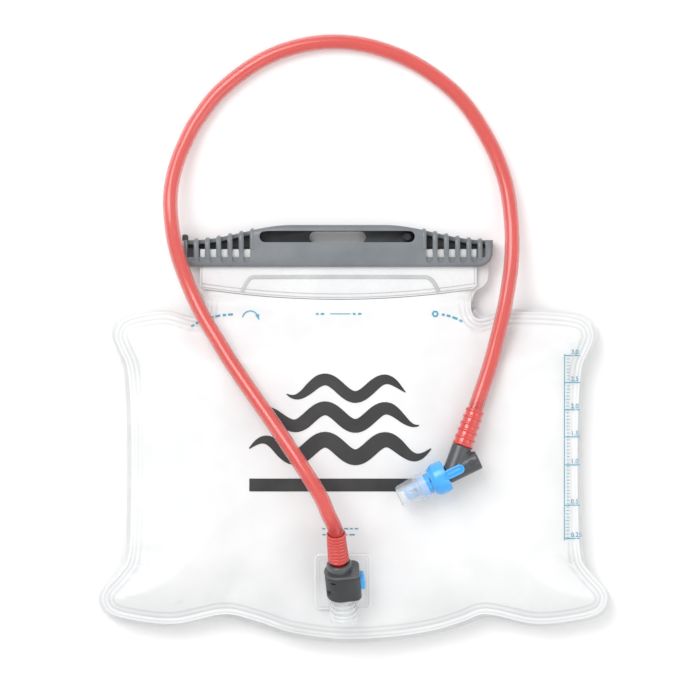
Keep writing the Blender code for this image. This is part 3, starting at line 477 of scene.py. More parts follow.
def frosted_film_group():
    """Cloudiness of frosted film: broad clouds, streaks along the roll, and a fine frost."""
    group = bpy.data.node_groups.new("frosted_film", "ShaderNodeTree")
    given, out = group_sockets(
        group,
        [("Vector", "Vector", None), ("Clouds", "Float", 16.0), ("Frost", "Float", 1500.0)],
        [("Haze", "Float"), ("Streaks", "Float"), ("Height", "Float")])
    stretch = group.nodes.new("ShaderNodeMapping")
    stretch.inputs["Scale"].default_value = (1.0, 9.0, 1.0)
    stretch.inputs["Rotation"].default_value = (0, 0, math.radians(90))
    group.links.new(given["Vector"], stretch.inputs["Vector"])
    clouds = noise(group, given["Vector"], given["Clouds"], 3.0, factor=1.0)
    streaks = noise(group, stretch.outputs["Vector"], given["Clouds"], 4.0, factor=3.0)
    frost = noise(group, given["Vector"], given["Frost"], 2.0, factor=1.0)
    group.links.new(spread(group, clouds, 0.0, 1.0), out["Haze"])
    group.links.new(spread(group, streaks, 0.0, 1.0), out["Streaks"])
    group.links.new(frost, out["Height"])
    return group


MOULDED = moulded_surface_group()
FROSTED = frosted_film_group()
print("shader groups:", MOULDED.name, FROSTED.name)


# %% Material makers
def start_material(name, alpha, coat, specular):
    made = bpy.data.materials.new(name)
    made.use_nodes = True
    tree = made.node_tree
    shader = tree.nodes["Principled BSDF"]
    shader.inputs["Alpha"].default_value = alpha
    shader.inputs["Coat Weight"].default_value = coat
    shader.inputs["Coat Roughness"].default_value = 0.12
    shader.inputs["Specular IOR Level"].default_value = specular
    place = tree.nodes.new("ShaderNodeTexCoord")
    return made, tree, shader, place.outputs["Object"]


def add_bump(tree, shader, height, strength, depth):
    bump = tree.nodes.new("ShaderNodeBump")
    bump.inputs["Strength"].default_value = strength
    bump.inputs["Distance"].default_value = depth
    tree.links.new(height, bump.inputs["Height"])
    tree.links.new(bump.outputs["Normal"], shader.inputs["Normal"])


def moulded(name, deep, pale, smooth, rough, wander=40.0, grain=2400.0, bump=0.25, alpha=1.0, coat=0.0,
            specular=0.5):
    """A moulded plastic or rubber: two shades, two roughnesses and a grain."""
    made, tree, shader, place = start_material(name, alpha, coat, specular)
    surface = tree.nodes.new("ShaderNodeGroup")
    surface.node_tree = MOULDED
    tree.links.new(place, surface.inputs["Vector"])
    for socket, value in (("Wander", wander), ("Grain", grain), ("Smooth", smooth), ("Rough", rough)):
        surface.inputs[socket].default_value = value
    surface.inputs["Deep"].default_value = (*deep, 1)
    surface.inputs["Pale"].default_value = (*pale, 1)
    tree.links.new(surface.outputs["Colour"], shader.inputs["Base Color"])
    tree.links.new(surface.outputs["Roughness"], shader.inputs["Roughness"])
    add_bump(tree, shader, surface.outputs["Height"], bump, 0.05 * mm)
    return made


# Grey of the weld lines, and also painted shade for the groove of the mouth plate's folded channel.
WELD_GREY_AND_GROOVE_SHADE = (0.50, 0.515, 0.53)


def frosted(name, thick, thin, clear, dense, smooth, rough, clouds=16.0):
    """A cloudy film: colour, clarity and gloss all follow the haze, and weld lines are greyer."""
    made, tree, shader, place = start_material(name, 1.0, 0.0, 0.5)
    surface = tree.nodes.new("ShaderNodeGroup")
    surface.node_tree = FROSTED
    tree.links.new(place, surface.inputs["Vector"])
    surface.inputs["Clouds"].default_value = clouds
    haze, streaks = surface.outputs["Haze"], surface.outputs["Streaks"]
    weld = tree.nodes.new("ShaderNodeAttribute")
    weld.attribute_name = "weld"
    colour = blend_colours(tree, haze, thin, thick)
    tree.links.new(blend_colours(tree, weld.outputs["Fac"], colour, WELD_GREY_AND_GROOVE_SHADE), shader.inputs["Base Color"])
    tree.links.new(spread(tree, haze, clear, dense, 0.0, 1.0), shader.inputs["Alpha"])
    tree.links.new(spread(tree, streaks, smooth, rough, 0.0, 1.0), shader.inputs["Roughness"])
    add_bump(tree, shader, surface.outputs["Height"], 0.3, 0.04 * mm)
    return made


def hose_material(name, pale, deep, alpha):
    """A clear red hose: the wall darkens where the tube is stretched over a fitting."""
    made, tree, shader, place = start_material(name, alpha, 1.0, 0.6)
    surface = tree.nodes.new("ShaderNodeGroup")
    surface.node_tree = MOULDED
    tree.links.new(place, surface.inputs["Vector"])
    for socket, value in (("Wander", 60.0), ("Grain", 900.0), ("Smooth", 0.16), ("Rough", 0.26)):
        surface.inputs[socket].default_value = value
    surface.inputs["Deep"].default_value = (*[c * 0.94 for c in pale], 1)
    surface.inputs["Pale"].default_value = (*pale, 1)
    stretch = tree.nodes.new("ShaderNodeAttribute")
    stretch.attribute_name = "stretched"
    tree.links.new(blend_colours(tree, stretch.outputs["Fac"], surface.outputs["Colour"], deep),
                   shader.inputs["Base Color"])
    tree.links.new(surface.outputs["Roughness"], shader.inputs["Roughness"])
    add_bump(tree, shader, surface.outputs["Height"], 0.08, 0.05 * mm)
    return made


# %% The finishes of this object
CORAL = (0.78, 0.095, 0.08)
DEEP_CORAL = (0.60, 0.022, 0.018)

FILM = frosted("frosted_film_body", (0.93, 0.933, 0.937), (0.885, 0.89, 0.896), 0.66, 0.80, 0.34, 0.48)
FILM_EDGE = frosted("welded_film", (0.88, 0.885, 0.89), (0.82, 0.827, 0.834), 0.66, 0.8, 0.28, 0.4, 40.0)
CLEAR = moulded("clear_moulding", (0.80, 0.82, 0.83), (0.88, 0.89, 0.90), 0.1, 0.2, 60.0, 700.0, 0.06,
                0.5, 0.5)
PLATE_CLEAR = moulded("clear_plate", (0.86, 0.87, 0.88), (0.92, 0.925, 0.93), 0.22, 0.34, 30.0, 900.0, 0.08,
                      0.72, 0.2)
# The ribs' grey is the welds' own grey on the double rib and the end ribs, and painted shade of the groove on
# the folded channel.
PLATE_RIB = moulded("clear_plate_rib", WELD_GREY_AND_GROOVE_SHADE, (0.58, 0.595, 0.61), 0.2, 0.3, 60.0, 900.0, 0.08,
                    0.6, 0.3)
GREY = moulded("grey_moulding", (0.135, 0.15, 0.165), (0.18, 0.196, 0.212), 0.28, 0.4, 35.0, 2600.0, 0.3, 1.0,
               0.25)
ELBOW_GREY = moulded("elbow_grey", (0.036, 0.040, 0.044), (0.062, 0.067, 0.072), 0.3, 0.42, 60.0, 3000.0,
                     0.3, 1.0, 0.2)
LID_GREY = moulded("lid_grey", (0.060, 0.065, 0.070), (0.090, 0.096, 0.102), 0.26, 0.4, 60.0, 3000.0,
                   0.3, 1.0, 0.3)
DARK = moulded("dark_moulding", (0.026, 0.028, 0.030), (0.045, 0.047, 0.050), 0.38, 0.55, 60.0, 3000.0, 0.35)
# The plate inside the bar is darker than the bar's grey: painted shade of the recess seen through the window.
# The peg, arm and end nub share it.
PLATE_PAINTED_SHADE = moulded("dark_plate", (0.040, 0.042, 0.045), (0.065, 0.068, 0.072), 0.42, 0.6, 40.0, 2600.0, 0.3)
BLUE = moulded("blue_moulding", (0.030, 0.33, 0.78), (0.060, 0.41, 0.86), 0.2, 0.34, 60.0, 2600.0, 0.15,
               1.0, 0.35)
BLUE_CLEAR = moulded("blue_clear", (0.035, 0.34, 0.80), (0.10, 0.48, 0.90), 0.1, 0.2, 90.0, 900.0, 0.06,
                     0.82, 0.6)
RUBBER = moulded("seal_rubber", (0.014, 0.014, 0.015), (0.028, 0.028, 0.029), 0.5, 0.7, 90.0, 1800.0, 0.2)
SPRING = moulded("spring_wire", (0.42, 0.43, 0.44), (0.56, 0.57, 0.58), 0.2, 0.35, 200.0, 3000.0, 0.1)
SPRING.node_tree.nodes["Principled BSDF"].inputs["Metallic"].default_value = 1.0
SILICONE = moulded("clear_silicone", (0.80, 0.84, 0.88), (0.90, 0.93, 0.95), 0.16, 0.28, 70.0, 1200.0,
                   0.1, 0.24, 0.4)
HOSE = hose_material("coral_hose", CORAL, DEEP_CORAL, 0.6)
HOSE.node_tree.nodes["Principled BSDF"].inputs["Coat Roughness"].default_value = 0.2
CUFF = hose_material("coral_cuff", CORAL, DEEP_CORAL, 0.94)
BLACK_INK = moulded("black_ink", (0.018, 0.018, 0.019), (0.034, 0.034, 0.035), 0.36, 0.5, 50.0, 2000.0, 0.12)
CYAN_INK = moulded("cyan_ink", (0.05, 0.30, 0.42), (0.09, 0.38, 0.50), 0.4, 0.55, 80.0, 2000.0, 0.12)
print("materials:", len(bpy.data.materials))

# %% [markdown]
# ## Table and light
#
# A pale table, one large soft lamp on the upper left and a bright room all round give the gentle,
# nearly shadowless light that shows white film: its edges go grey only where it turns away.

# %% Floor, lamps and room
FLOOR_Z = -0.3 * mm
FLOOR_HALF = 3
floor = plate("floor", [(-FLOOR_HALF, -FLOOR_HALF), (FLOOR_HALF, -FLOOR_HALF), (FLOOR_HALF, FLOOR_HALF),
                        (-FLOOR_HALF, FLOOR_HALF)], FLOOR_Z - 10 * mm, FLOOR_Z)
floor.data.materials.append(moulded("pale_table", (0.90, 0.90, 0.90), (0.93, 0.93, 0.93), 0.6, 0.75, 6.0,
                                    400.0, 0.05, specular=0.2))
LAMP_AIM = Vector((0, 0.05, 0))
ROOM_LIGHT = 0.84


def lamp(name, place, size, watts):
    data = bpy.data.lights.new(name, "AREA")
    data.size = size
    data.energy = watts
    made = bpy.data.objects.new(name, data)
    made.location = place
    made.rotation_euler = (LAMP_AIM - Vector(place)).to_track_quat("-Z", "Y").to_euler()
    bpy.context.scene.collection.objects.link(made)


lamp("key", (-0.8, 1.0, 1.6), 1.2, 22)
lamp("fill", (1.3, -0.6, 1.4), 1.6, 9)
world = bpy.data.worlds.new("room")
world.use_nodes = True
world.node_tree.nodes["Background"].inputs["Color"].default_value = (1, 1, 1, 1)
world.node_tree.nodes["Background"].inputs["Strength"].default_value = ROOM_LIGHT
bpy.context.scene.world = world
bpy.context.scene.view_settings.view_transform = "Standard"

# %% [markdown]
# ## The drink tube
#
# A hose has one fixed length. This one leaves the connector straight, climbs over the bag and the bar,
# lies in a wide loop on the table and comes back to the valve. Its route is a short list of given points,
# as a person lays a hose; a smooth curve through them gives the bends. The hose is a
# real tube with a bore, because clear walls only look right when there are two of them.

# %% Places of the port and the valve
STUB_START = Vector((-6.0 * mm, -107.5 * mm, 32.6 * mm))
STUB_RISE = math.radians(33)
STUB_LEAN = math.radians(5.8)
VALVE_PIVOT = Vector((57.6 * mm, -22.9 * mm, 50 * mm))
VALVE_TURN = math.radians(205.8)
ARM_ANGLE = math.radians(136)
ARM_DROP = math.radians(8)
ARM_END = 15.6 * mm
NECK_END = 34.6 * mm
GAP = 0.3 * mm

stub = Matrix.Translation(STUB_START) @ Euler((-math.pi / 2 + STUB_RISE, 0, STUB_LEAN)).to_matrix().to_4x4()
valve = Matrix.Translation(VALVE_PIVOT) @ Euler((0, math.pi / 2, VALVE_TURN)).to_matrix().to_4x4()
flat_arm = Vector((0, -math.sin(ARM_ANGLE), math.cos(ARM_ANGLE)))
arm = (flat_arm * math.cos(ARM_DROP) + Vector((1, 0, 0)) * math.sin(ARM_DROP)).normalized()
print("spigot's mouth and valve pivot, mm:", [round(x / mm, 1) for x in (*(stub @ Vector((0, 0, NECK_END))),
                                                                         *VALVE_PIVOT)])

# %% The hose and its route
TUBE_RADIUS = 4.5 * mm
TUBE_BORE = 3.1 * mm
TUBE_ROUTE = [
    (-24.2, -29.5, 63.6), (-33.6, -15, 60.2), (-44.5, 1, 54.6), (-57, 18.7, 48.2), (-66, 31.5, 43.6),
    (-73.5, 42.5, 39.2), (-81, 54.5, 33.6), (-88.4, 66.3, 28), (-94.5, 78, 24.2), (-99.7, 90.1, 22.2),
    (-104, 102, 21.5), (-107.1, 113.9, 21.3), (-108.8, 125.8, 21), (-109.5, 137.7, 18.8),
    (-108.3, 149.6, 15.2), (-105.3, 161.5, 11.6), (-100.5, 173.4, 8.4), (-94.3, 185.3, 6.2),
    (-80, 203.5, 4.9), (-56.2, 221.3, 4.7), (-32.4, 230.3, 4.7), (-8.6, 232.6, 4.7), (15.2, 228.5, 4.7),
    (39, 218.1, 4.7),
    (62.8, 199.3, 4.7), (80.3, 173.4, 5.2), (89.8, 149.6, 7.4), (93.4, 125.8, 11.4), (93.4, 102, 16.8),
    (89.8, 78.2, 24), (87, 66, 28.4), (83.9, 54.4, 32.8), (80.5, 42, 37.2), (76.8, 30.6, 41),
    (72.5, 18.5, 44),
]
leave = [stub @ Vector((0, 0, NECK_END + GAP + s * mm)) for s in (0, 9, 18, 27)]
lead = [Vector((-15.2, -47.5, 65.2)) * mm, Vector((-18.8, -39, 65.2)) * mm]
enter = [valve @ (arm * (ARM_END + GAP + s * mm)) for s in (20, 10, 0)]
hose_path = evenly(smooth_path(leave + lead + [Vector(p) * mm for p in TUBE_ROUTE] + enter, 8), 2.5 * mm)
HOSE_LENGTH = length_of(hose_path)
print("hose length, m:", round(HOSE_LENGTH, 4), "points:", len(hose_path))


def mark_stretch(piece, path, stretches):
    """Stores on each point how much the hose is stretched there, from distances along the path."""
    places = np.array(path)
    lengths = np.concatenate([[0], np.cumsum(np.linalg.norm(np.diff(places, axis=0), axis=1))])
    points = np.array([v.co for v in piece.data.vertices])
    nearest = np.array([np.argmin(((places - p) ** 2).sum(1)) for p in points])
    along = lengths[nearest]
    value = np.zeros(len(points), np.float32)
    for start, end, fade in stretches:
        inside = np.minimum((along - start) / fade, (end - along) / fade)
        value = np.maximum(value, np.clip(inside + 1, 0, 1))
    layer = piece.data.attributes.new("stretched", "FLOAT", "POINT")
    layer.data.foreach_set("value", value.astype(np.float32))


hose = pipe("hose", hose_path, TUBE_RADIUS, TUBE_BORE)
mark_stretch(hose, hose_path, [(0, 27 * mm, 9 * mm), (HOSE_LENGTH - 24 * mm, HOSE_LENGTH, 7 * mm)])
mounted(hose, "coupler", HOSE, ["drink_tube"])

# %% [markdown]
# ## Ribbed ends of the hose
#
# Over each fitting the hose is gripped by a ribbed cuff of the same red rubber. The ribs are one ring
# repeated at equal steps along the hose's own curve, and that is what Geometry Nodes are good at: the
# path goes in, and ring count, sizes and taper are named inputs. The same tree also makes the ribs of
# the clear stub, whose path is a straight line.

# %% A node tree that strings rings along a path
def geometry_tree(name, inputs):
    """A node tree with inputs given as (name, kind) and one geometry as its output."""
    tree = bpy.data.node_groups.new(name, "GeometryNodeTree")
    for label, kind in inputs:
        tree.interface.new_socket(label, in_out="INPUT", socket_type="NodeSocket" + kind)
    tree.interface.new_socket("Geometry", in_out="OUTPUT", socket_type="NodeSocketGeometry")
    return tree


def rings_along_tree():
    tree = geometry_tree("rings_along", (("Path", "Geometry"), ("Rings", "Int"), ("Radius", "Float"),
                                         ("End Scale", "Float"), ("Bead", "Float"), ("Flatness", "Float"),
                                         ("Finish", "Material")))
    node, link = tree.nodes.new, tree.links.new
    given, out = node("NodeGroupInput"), node("NodeGroupOutput")

    line = node("GeometryNodeMeshToCurve")
    link(given.outputs["Path"], line.inputs["Mesh"])
    spaced = node("GeometryNodeResampleCurve")
    link(line.outputs["Curve"], spaced.inputs["Curve"])
    link(given.outputs["Rings"], spaced.inputs["Count"])

    hoop = node("GeometryNodeCurvePrimitiveCircle")
    hoop.inputs["Resolution"].default_value = 48
    link(given.outputs["Radius"], hoop.inputs["Radius"])
    bead = node("GeometryNodeCurvePrimitiveCircle")
    bead.inputs["Resolution"].default_value = 10
    link(given.outputs["Bead"], bead.inputs["Radius"])
    ring = node("GeometryNodeCurveToMesh")
    link(hoop.outputs["Curve"], ring.inputs["Curve"])
    link(bead.outputs["Curve"], ring.inputs["Profile Curve"])

    tangent = node("GeometryNodeInputTangent")
    turn = node("FunctionNodeAlignRotationToVector")
    turn.axis = "Z"
    link(tangent.outputs["Tangent"], turn.inputs["Vector"])
    place = node("GeometryNodeSplineParameter")
    taper = node("ShaderNodeMapRange")
    taper.inputs["To Min"].default_value = 1.0
    link(place.outputs["Factor"], taper.inputs["Value"])
    link(given.outputs["End Scale"], taper.inputs["To Max"])
    size = node("ShaderNodeCombineXYZ")
    link(taper.outputs["Result"], size.inputs["X"])
    link(taper.outputs["Result"], size.inputs["Y"])
    link(given.outputs["Flatness"], size.inputs["Z"])

    copies = node("GeometryNodeInstanceOnPoints")
    link(spaced.outputs["Curve"], copies.inputs["Points"])
    link(ring.outputs["Mesh"], copies.inputs["Instance"])
    link(turn.outputs["Rotation"], copies.inputs["Rotation"])
    link(size.outputs["Vector"], copies.inputs["Scale"])
    real = node("GeometryNodeRealizeInstances")
    link(copies.outputs["Instances"], real.inputs["Geometry"])
    smooth = node("GeometryNodeSetShadeSmooth")
    link(real.outputs["Geometry"], smooth.inputs["Geometry"])
    finish = node("GeometryNodeSetMaterial")
    link(smooth.outputs["Geometry"], finish.inputs["Geometry"])
    link(given.outputs["Finish"], finish.inputs["Material"])
    link(finish.outputs["Geometry"], out.inputs["Geometry"])
    return tree


def node_piece(name, tree, verts, edges, **values):
    """Points and edges run through a node tree, its inputs given by name, and made a plain mesh."""
    mesh = bpy.data.meshes.new(name)
    mesh.from_pydata([tuple(v) for v in verts], edges, [])
    piece = bpy.data.objects.new(name, mesh)
    bpy.context.scene.collection.objects.link(piece)
    change = piece.modifiers.new(tree.name, "NODES")
    change.node_group = tree
    for item in tree.interface.items_tree:
        key = item.name.replace(" ", "_").lower()
        if item.in_out == "INPUT" and key in values:
            change[item.identifier] = values[key]
    return settled(piece)


RINGS_ALONG = rings_along_tree()
CUFF_STRETCH = 0.72


def flared_pipe(name, path, start_radius, end_radius, bore):
    """A tube whose outside widens or narrows evenly from one end to the other."""
    made = pipe(name, path, start_radius, bore, 40)
    length = len(path) - 1
    for v in made.data.vertices:
        n = min(range(length + 1), key=lambda k: (path[k] - v.co).length)
        away = v.co - path[n]
        if away.length > (bore + start_radius) / 2:
            want = start_radius + (end_radius - start_radius) * n / length
            v.co = path[n] + away.normalized() * want
    return made


def ribbed_cuff(name, path, ribs, radius, end_radius, bead, nodes_for):
    """A tapering sleeve round the hose with rings strung along it."""
    count = len(path)
    body = flared_pipe(name + "_body", path, radius - 0.35 * mm, end_radius - 0.35 * mm,
                       TUBE_RADIUS + 0.05 * mm)
    body.data.materials.append(CUFF)
    edges = [(n, n + 1) for n in range(count - 1)]
    rings = node_piece(name + "_rings", RINGS_ALONG, path, edges, rings=ribs, radius=radius - 0.6 * bead,
                       end_scale=end_radius / radius, bead=bead, flatness=1.15, finish=CUFF)
    made = joined(name, body, rings)
    layer = made.data.attributes.get("stretched") or made.data.attributes.new("stretched", "FLOAT", "POINT")
    layer.data.foreach_set("value", np.full(len(made.data.vertices), CUFF_STRETCH, np.float32))
    return mounted(made, "coupler", None, [nodes_for])


fine_path = evenly(hose_path, 1 * mm)
CUFF_RADIUS, CUFF_TAPER = 6.1 * mm, 0.7 * mm
lower_cuff = ribbed_cuff("hose_cuff_port", fine_path[6:25], 9, CUFF_RADIUS, CUFF_RADIUS - CUFF_TAPER,
                         0.6 * mm, "lower_cuff")
upper_cuff = ribbed_cuff("hose_cuff_valve", fine_path[::-1][1:23], 6, CUFF_RADIUS, CUFF_RADIUS - CUFF_TAPER,
                         0.95 * mm, "upper_cuff")

# %% [markdown]
# ## The film bag
#
# The bag is two sheets of film joined by a pleated side wall. Filled, each sheet is a pillow: flat at
# its welded rim, steep just inside it and nearly level in the middle. Cloth simulation could blow it
# up, but the port, the mouth and the print have to sit exactly on the film, so the sheet is a formula
# of the distance from the rim, and weld lines, puckers and soft dents are added to the same formula.

# %% Outline of the film
FILM_WALL = 0.35 * mm
WING_HALF, SHOULDER_HALF, WAIST_HALF = 150 * mm, 142 * mm, 133 * mm
SHOULDER_Y, HEM_Y, HEM_WING_Y = 71 * mm, -123 * mm, -111 * mm
NECK_X, NECK_HALF = -9.7 * mm, 79.5 * mm
MOUTH_EDGE_Y, MOUTH_BOW = 84.5 * mm, 6 * mm


def side_outline(side):
    """Key points of one side, from the neck down to the pinch beside the hem's middle lobe."""
    neck = NECK_X + side * NECK_HALF
    wing, shoulder, waist = side * WING_HALF, side * SHOULDER_HALF, side * WAIST_HALF
    return [
        (neck, MOUTH_EDGE_Y), (neck, SHOULDER_Y), (neck + side * 5 * mm, SHOULDER_Y - 4 * mm),
        (neck + side * 22 * mm, SHOULDER_Y), (shoulder - side * 17 * mm, SHOULDER_Y - 1 * mm),
        (shoulder - side * 4 * mm, SHOULDER_Y - 5 * mm), (shoulder, SHOULDER_Y - 14 * mm),
        (shoulder - side * 3 * mm, SHOULDER_Y - 23 * mm), (waist + side * 2 * mm, SHOULDER_Y - 33 * mm),
        (waist, 13 * mm), (waist - side * 0.5 * mm, -20 * mm), (waist, -52 * mm),
        (waist + side * 1.5 * mm, HEM_WING_Y + 36 * mm), (wing - side * 10 * mm, HEM_WING_Y + 27 * mm),
        (wing - side * 2 * mm, HEM_WING_Y + 18 * mm), (wing, HEM_WING_Y + 11 * mm),
        (wing - side * 5 * mm, HEM_WING_Y + 3 * mm), (wing - side * 22 * mm, HEM_WING_Y - 1.5 * mm),
        (wing - side * 44 * mm, HEM_WING_Y - 3 * mm), (side * 78 * mm, HEM_WING_Y + 2.5 * mm),
    ]


hem = [(-60 * mm, HEM_Y + 11 * mm), (-38 * mm, HEM_Y + 4 * mm), (-7 * mm, HEM_Y), (24 * mm, HEM_Y + 1.5 * mm),
       (47 * mm, HEM_Y + 5 * mm), (64 * mm, HEM_Y + 10 * mm)]
rim_keys = side_outline(-1) + hem + side_outline(1)[::-1]
rim = [p.xy for p in smooth_path([(x, y, 0) for x, y in rim_keys], 8)]
print("rim points:", len(rim))


# %% Distance to the rim
rim_points = np.array(rim)
rim_steps = np.diff(rim_points, axis=0)
rim_lengths = np.concatenate([[0], np.cumsum(np.linalg.norm(rim_steps, axis=1))])
print("rim length, m:", round(float(rim_lengths[-1]), 3))


def from_rim(x, y):
    """Distance to the rim, and how far round the rim its nearest point is."""
    away, round_rim = np.empty(len(x)), np.empty(len(x))
    batch = 4000
    for first in range(0, len(x), batch):
        here = np.stack([x[first:first + batch], y[first:first + batch]], 1)[:, None, :]
        share = ((here - rim_points[:-1]) * rim_steps).sum(2) / (rim_steps ** 2).sum(1)
        share = np.clip(share, 0, 1)
        gap = np.linalg.norm(here - rim_points[:-1] - rim_steps * share[..., None], axis=2)
        best = gap.argmin(1)
        rows = np.arange(len(best))
        away[first:first + batch] = gap[rows, best]
        step = np.diff(rim_lengths)[best]
        round_rim[first:first + batch] = rim_lengths[best] + share[rows, best] * step
    return away, round_rim


def eased(low, high, value):
    t = np.clip((value - low) / (high - low), 0, 1)
    return t * t * (3 - 2 * t)


def mouth_edge(x):
    """The bowed line where the film meets the mouth plates."""
    return MOUTH_EDGE_Y - MOUTH_BOW * (1 - ((x - NECK_X) / NECK_HALF) ** 2)


# %% Height of the front sheet
FRONT_EDGE_Z, BACK_EDGE_Z = 17 * mm, 6 * mm
CROWN, CROWN_REACH = 23 * mm, 26 * mm
FRONT_LIP_Z, BACK_LIP_Z, MOUTH_Z = 10.3 * mm, 5.7 * mm, 8 * mm
CAD_FILM = 0.6 * mm
PORT_SEAT = Vector((-6.9 * mm, -88.4 * mm, 30 * mm))
PORT_TILT = math.radians(12)
PATCH_WIDTH, PATCH_LENGTH = 34 * mm, 34.4 * mm
WELD_LINES = (1.5 * mm, 4.0 * mm, 6.8 * mm)
WELD_HEIGHT, WELD_WIDTH = 0.42 * mm, 0.5 * mm
MARK_WIDTH, MARK_FAINT, MARK_STRONG = 0.62 * mm, 0.07, 0.30
FLANGE = 3.5 * mm


def neck_share(y):
    return eased(66 * mm, 80 * mm, y)


def front_edge_z(y):
    return FRONT_EDGE_Z + (MOUTH_Z + GAP / 2 + CAD_FILM - FRONT_EDGE_Z) * neck_share(y)


def back_edge_z(y):
    return BACK_EDGE_Z + (MOUTH_Z - GAP / 2 - CAD_FILM - BACK_EDGE_Z) * neck_share(y)


def weld_relief(away):
    """Raised weld lines that follow the rim."""
    relief = np.zeros_like(away)
    for line in WELD_LINES:
        relief += WELD_HEIGHT * np.exp(-((away - line) / WELD_WIDTH) ** 2)
    return relief


def weld_mask(x, y):
    """How strongly each point lies on a weld line; the lines fade out at the waist and the neck."""
    away, _ = from_rim(x, y)
    mask = np.zeros_like(away)
    for line in WELD_LINES:
        mask += np.exp(-((away - line) / MARK_WIDTH) ** 2)
    lobes = eased(38 * mm, 58 * mm, np.abs(y + 20 * mm)) * (1 - 0.8 * neck_share(y))
    return np.clip(mask, 0, 1) * (MARK_FAINT + MARK_STRONG * lobes)


def mark_welds(piece):
    """Stores the weld mask on every point for the film's material."""
    points = np.array([v.co for v in piece.data.vertices])
    layer = piece.data.attributes.new("weld", "FLOAT", "POINT")
    layer.data.foreach_set("value", weld_mask(points[:, 0], points[:, 1]).astype(np.float32))


def puckers(away, round_rim):
    """Short wrinkles that run in from the weld, where flat film is pulled into a pillow."""
    turns = 2 * math.pi * round_rim
    wave = np.sin(turns / (13 * mm)) + 0.8 * np.sin(turns / (8.3 * mm) + 1.2)
    uneven = 0.55 + 0.45 * np.sin(turns / (97 * mm) + 0.6)
    return 0.34 * mm * wave * uneven * np.exp(-((away - 11 * mm) / (6.5 * mm)) ** 2)


def crease(x, y, start, end, depth, width):
    """A soft crease along a line, deepest in its middle."""
    (x0, y0), (x1, y1) = start, end
    length = math.hypot(x1 - x0, y1 - y0)
    along = ((x - x0) * (x1 - x0) + (y - y0) * (y1 - y0)) / length ** 2
    across = ((x - x0) * (y1 - y0) - (y - y0) * (x1 - x0)) / length
    inside = np.sin(math.pi * np.clip(along, 0, 1)) ** 2
    return depth * inside * np.exp(-(across / width) ** 2)


CREASES = [
    ((-92, 74), (-48, 38), -1.3, 7), ((74, 74), (34, 36), -1.3, 7), ((-118, 52), (-96, 4), -1.5, 9),
    ((112, 50), (100, 2), -1.5, 9), ((-76, -112), (-66, -72), -2.0, 8), ((80, -112), (70, -70), -2.0, 8),
    ((-120, -88), (-84, -60), -1.2, 7), ((122, -88), (90, -58), -1.2, 7), ((-52, 68), (40, 64), -0.8, 6),
]


def front_height(x, y):
    """Outer face of the front sheet."""
    x, y = np.atleast_1d(np.asarray(x, float)), np.atleast_1d(np.asarray(y, float))
    away, round_rim = from_rim(x, y)
    neck, fade = neck_share(y), eased(40 * mm, 80 * mm, y)
    rise = CROWN * (1 - fade) + (FRONT_LIP_Z + CAD_FILM - front_edge_z(y)) * fade
    reach = CROWN_REACH * (1 - neck) + 3 * mm * neck
    flat = FLANGE * (1 - neck)
    height = front_edge_z(y) + rise * (1 - np.exp(-np.maximum(0, away - flat) / reach))
    height += (weld_relief(away) + puckers(away, round_rim)) * (1 - neck)
    for start, end, depth, width in CREASES:
        start, end = (start[0] * mm, start[1] * mm), (end[0] * mm, end[1] * mm)
        height += crease(x, y, start, end, depth * mm, width * mm)
    uneven = 0.35 * mm * np.sin(x / (19 * mm) + 0.7) * np.sin(y / (23 * mm))
    height += uneven * (1 - np.exp(-away / (20 * mm)))
    across = 1 - eased(PATCH_WIDTH / 2 + 9 * mm, PATCH_WIDTH / 2 + 27 * mm, abs(x - PORT_SEAT.x))
    seat = across * (1 - eased(21.5 * mm, 42 * mm, abs(y - PORT_SEAT.y)))
    plane = PORT_SEAT.z + (y - PORT_SEAT.y) * math.tan(PORT_TILT)
    return height * (1 - seat) + plane * seat


def back_height(x, y):
    """Outer face of the back sheet: flat on the table away from its rim."""
    away, _ = from_rim(x, y)
    body = BACK_EDGE_Z * np.maximum(0, 1 - away / (30 * mm)) ** 2
    lip = BACK_LIP_Z - CAD_FILM
    neck = lip + (back_edge_z(y) - lip) * np.exp(-away / (3 * mm))
    return body + (neck - body) * neck_share(y) - weld_relief(away) * (1 - neck_share(y)) * 0.6


print("front sheet above the table at its middle, mm:", round(float(front_height(0, 0)[0]) / mm, 1))


# %% Sheets of film
MOUTH_STEPS = 56
SEAM_STEP = 9 * mm
RIM_BAND = 0.90


def ring_scales(fine, coarse):
    """Ring sizes from the rim to the middle: close together over the weld lines, then wider apart."""
    band = np.linspace(1, RIM_BAND, fine, endpoint=False)
    return np.concatenate([band, RIM_BAND * (1 - np.linspace(0, 1, coarse, endpoint=False))])


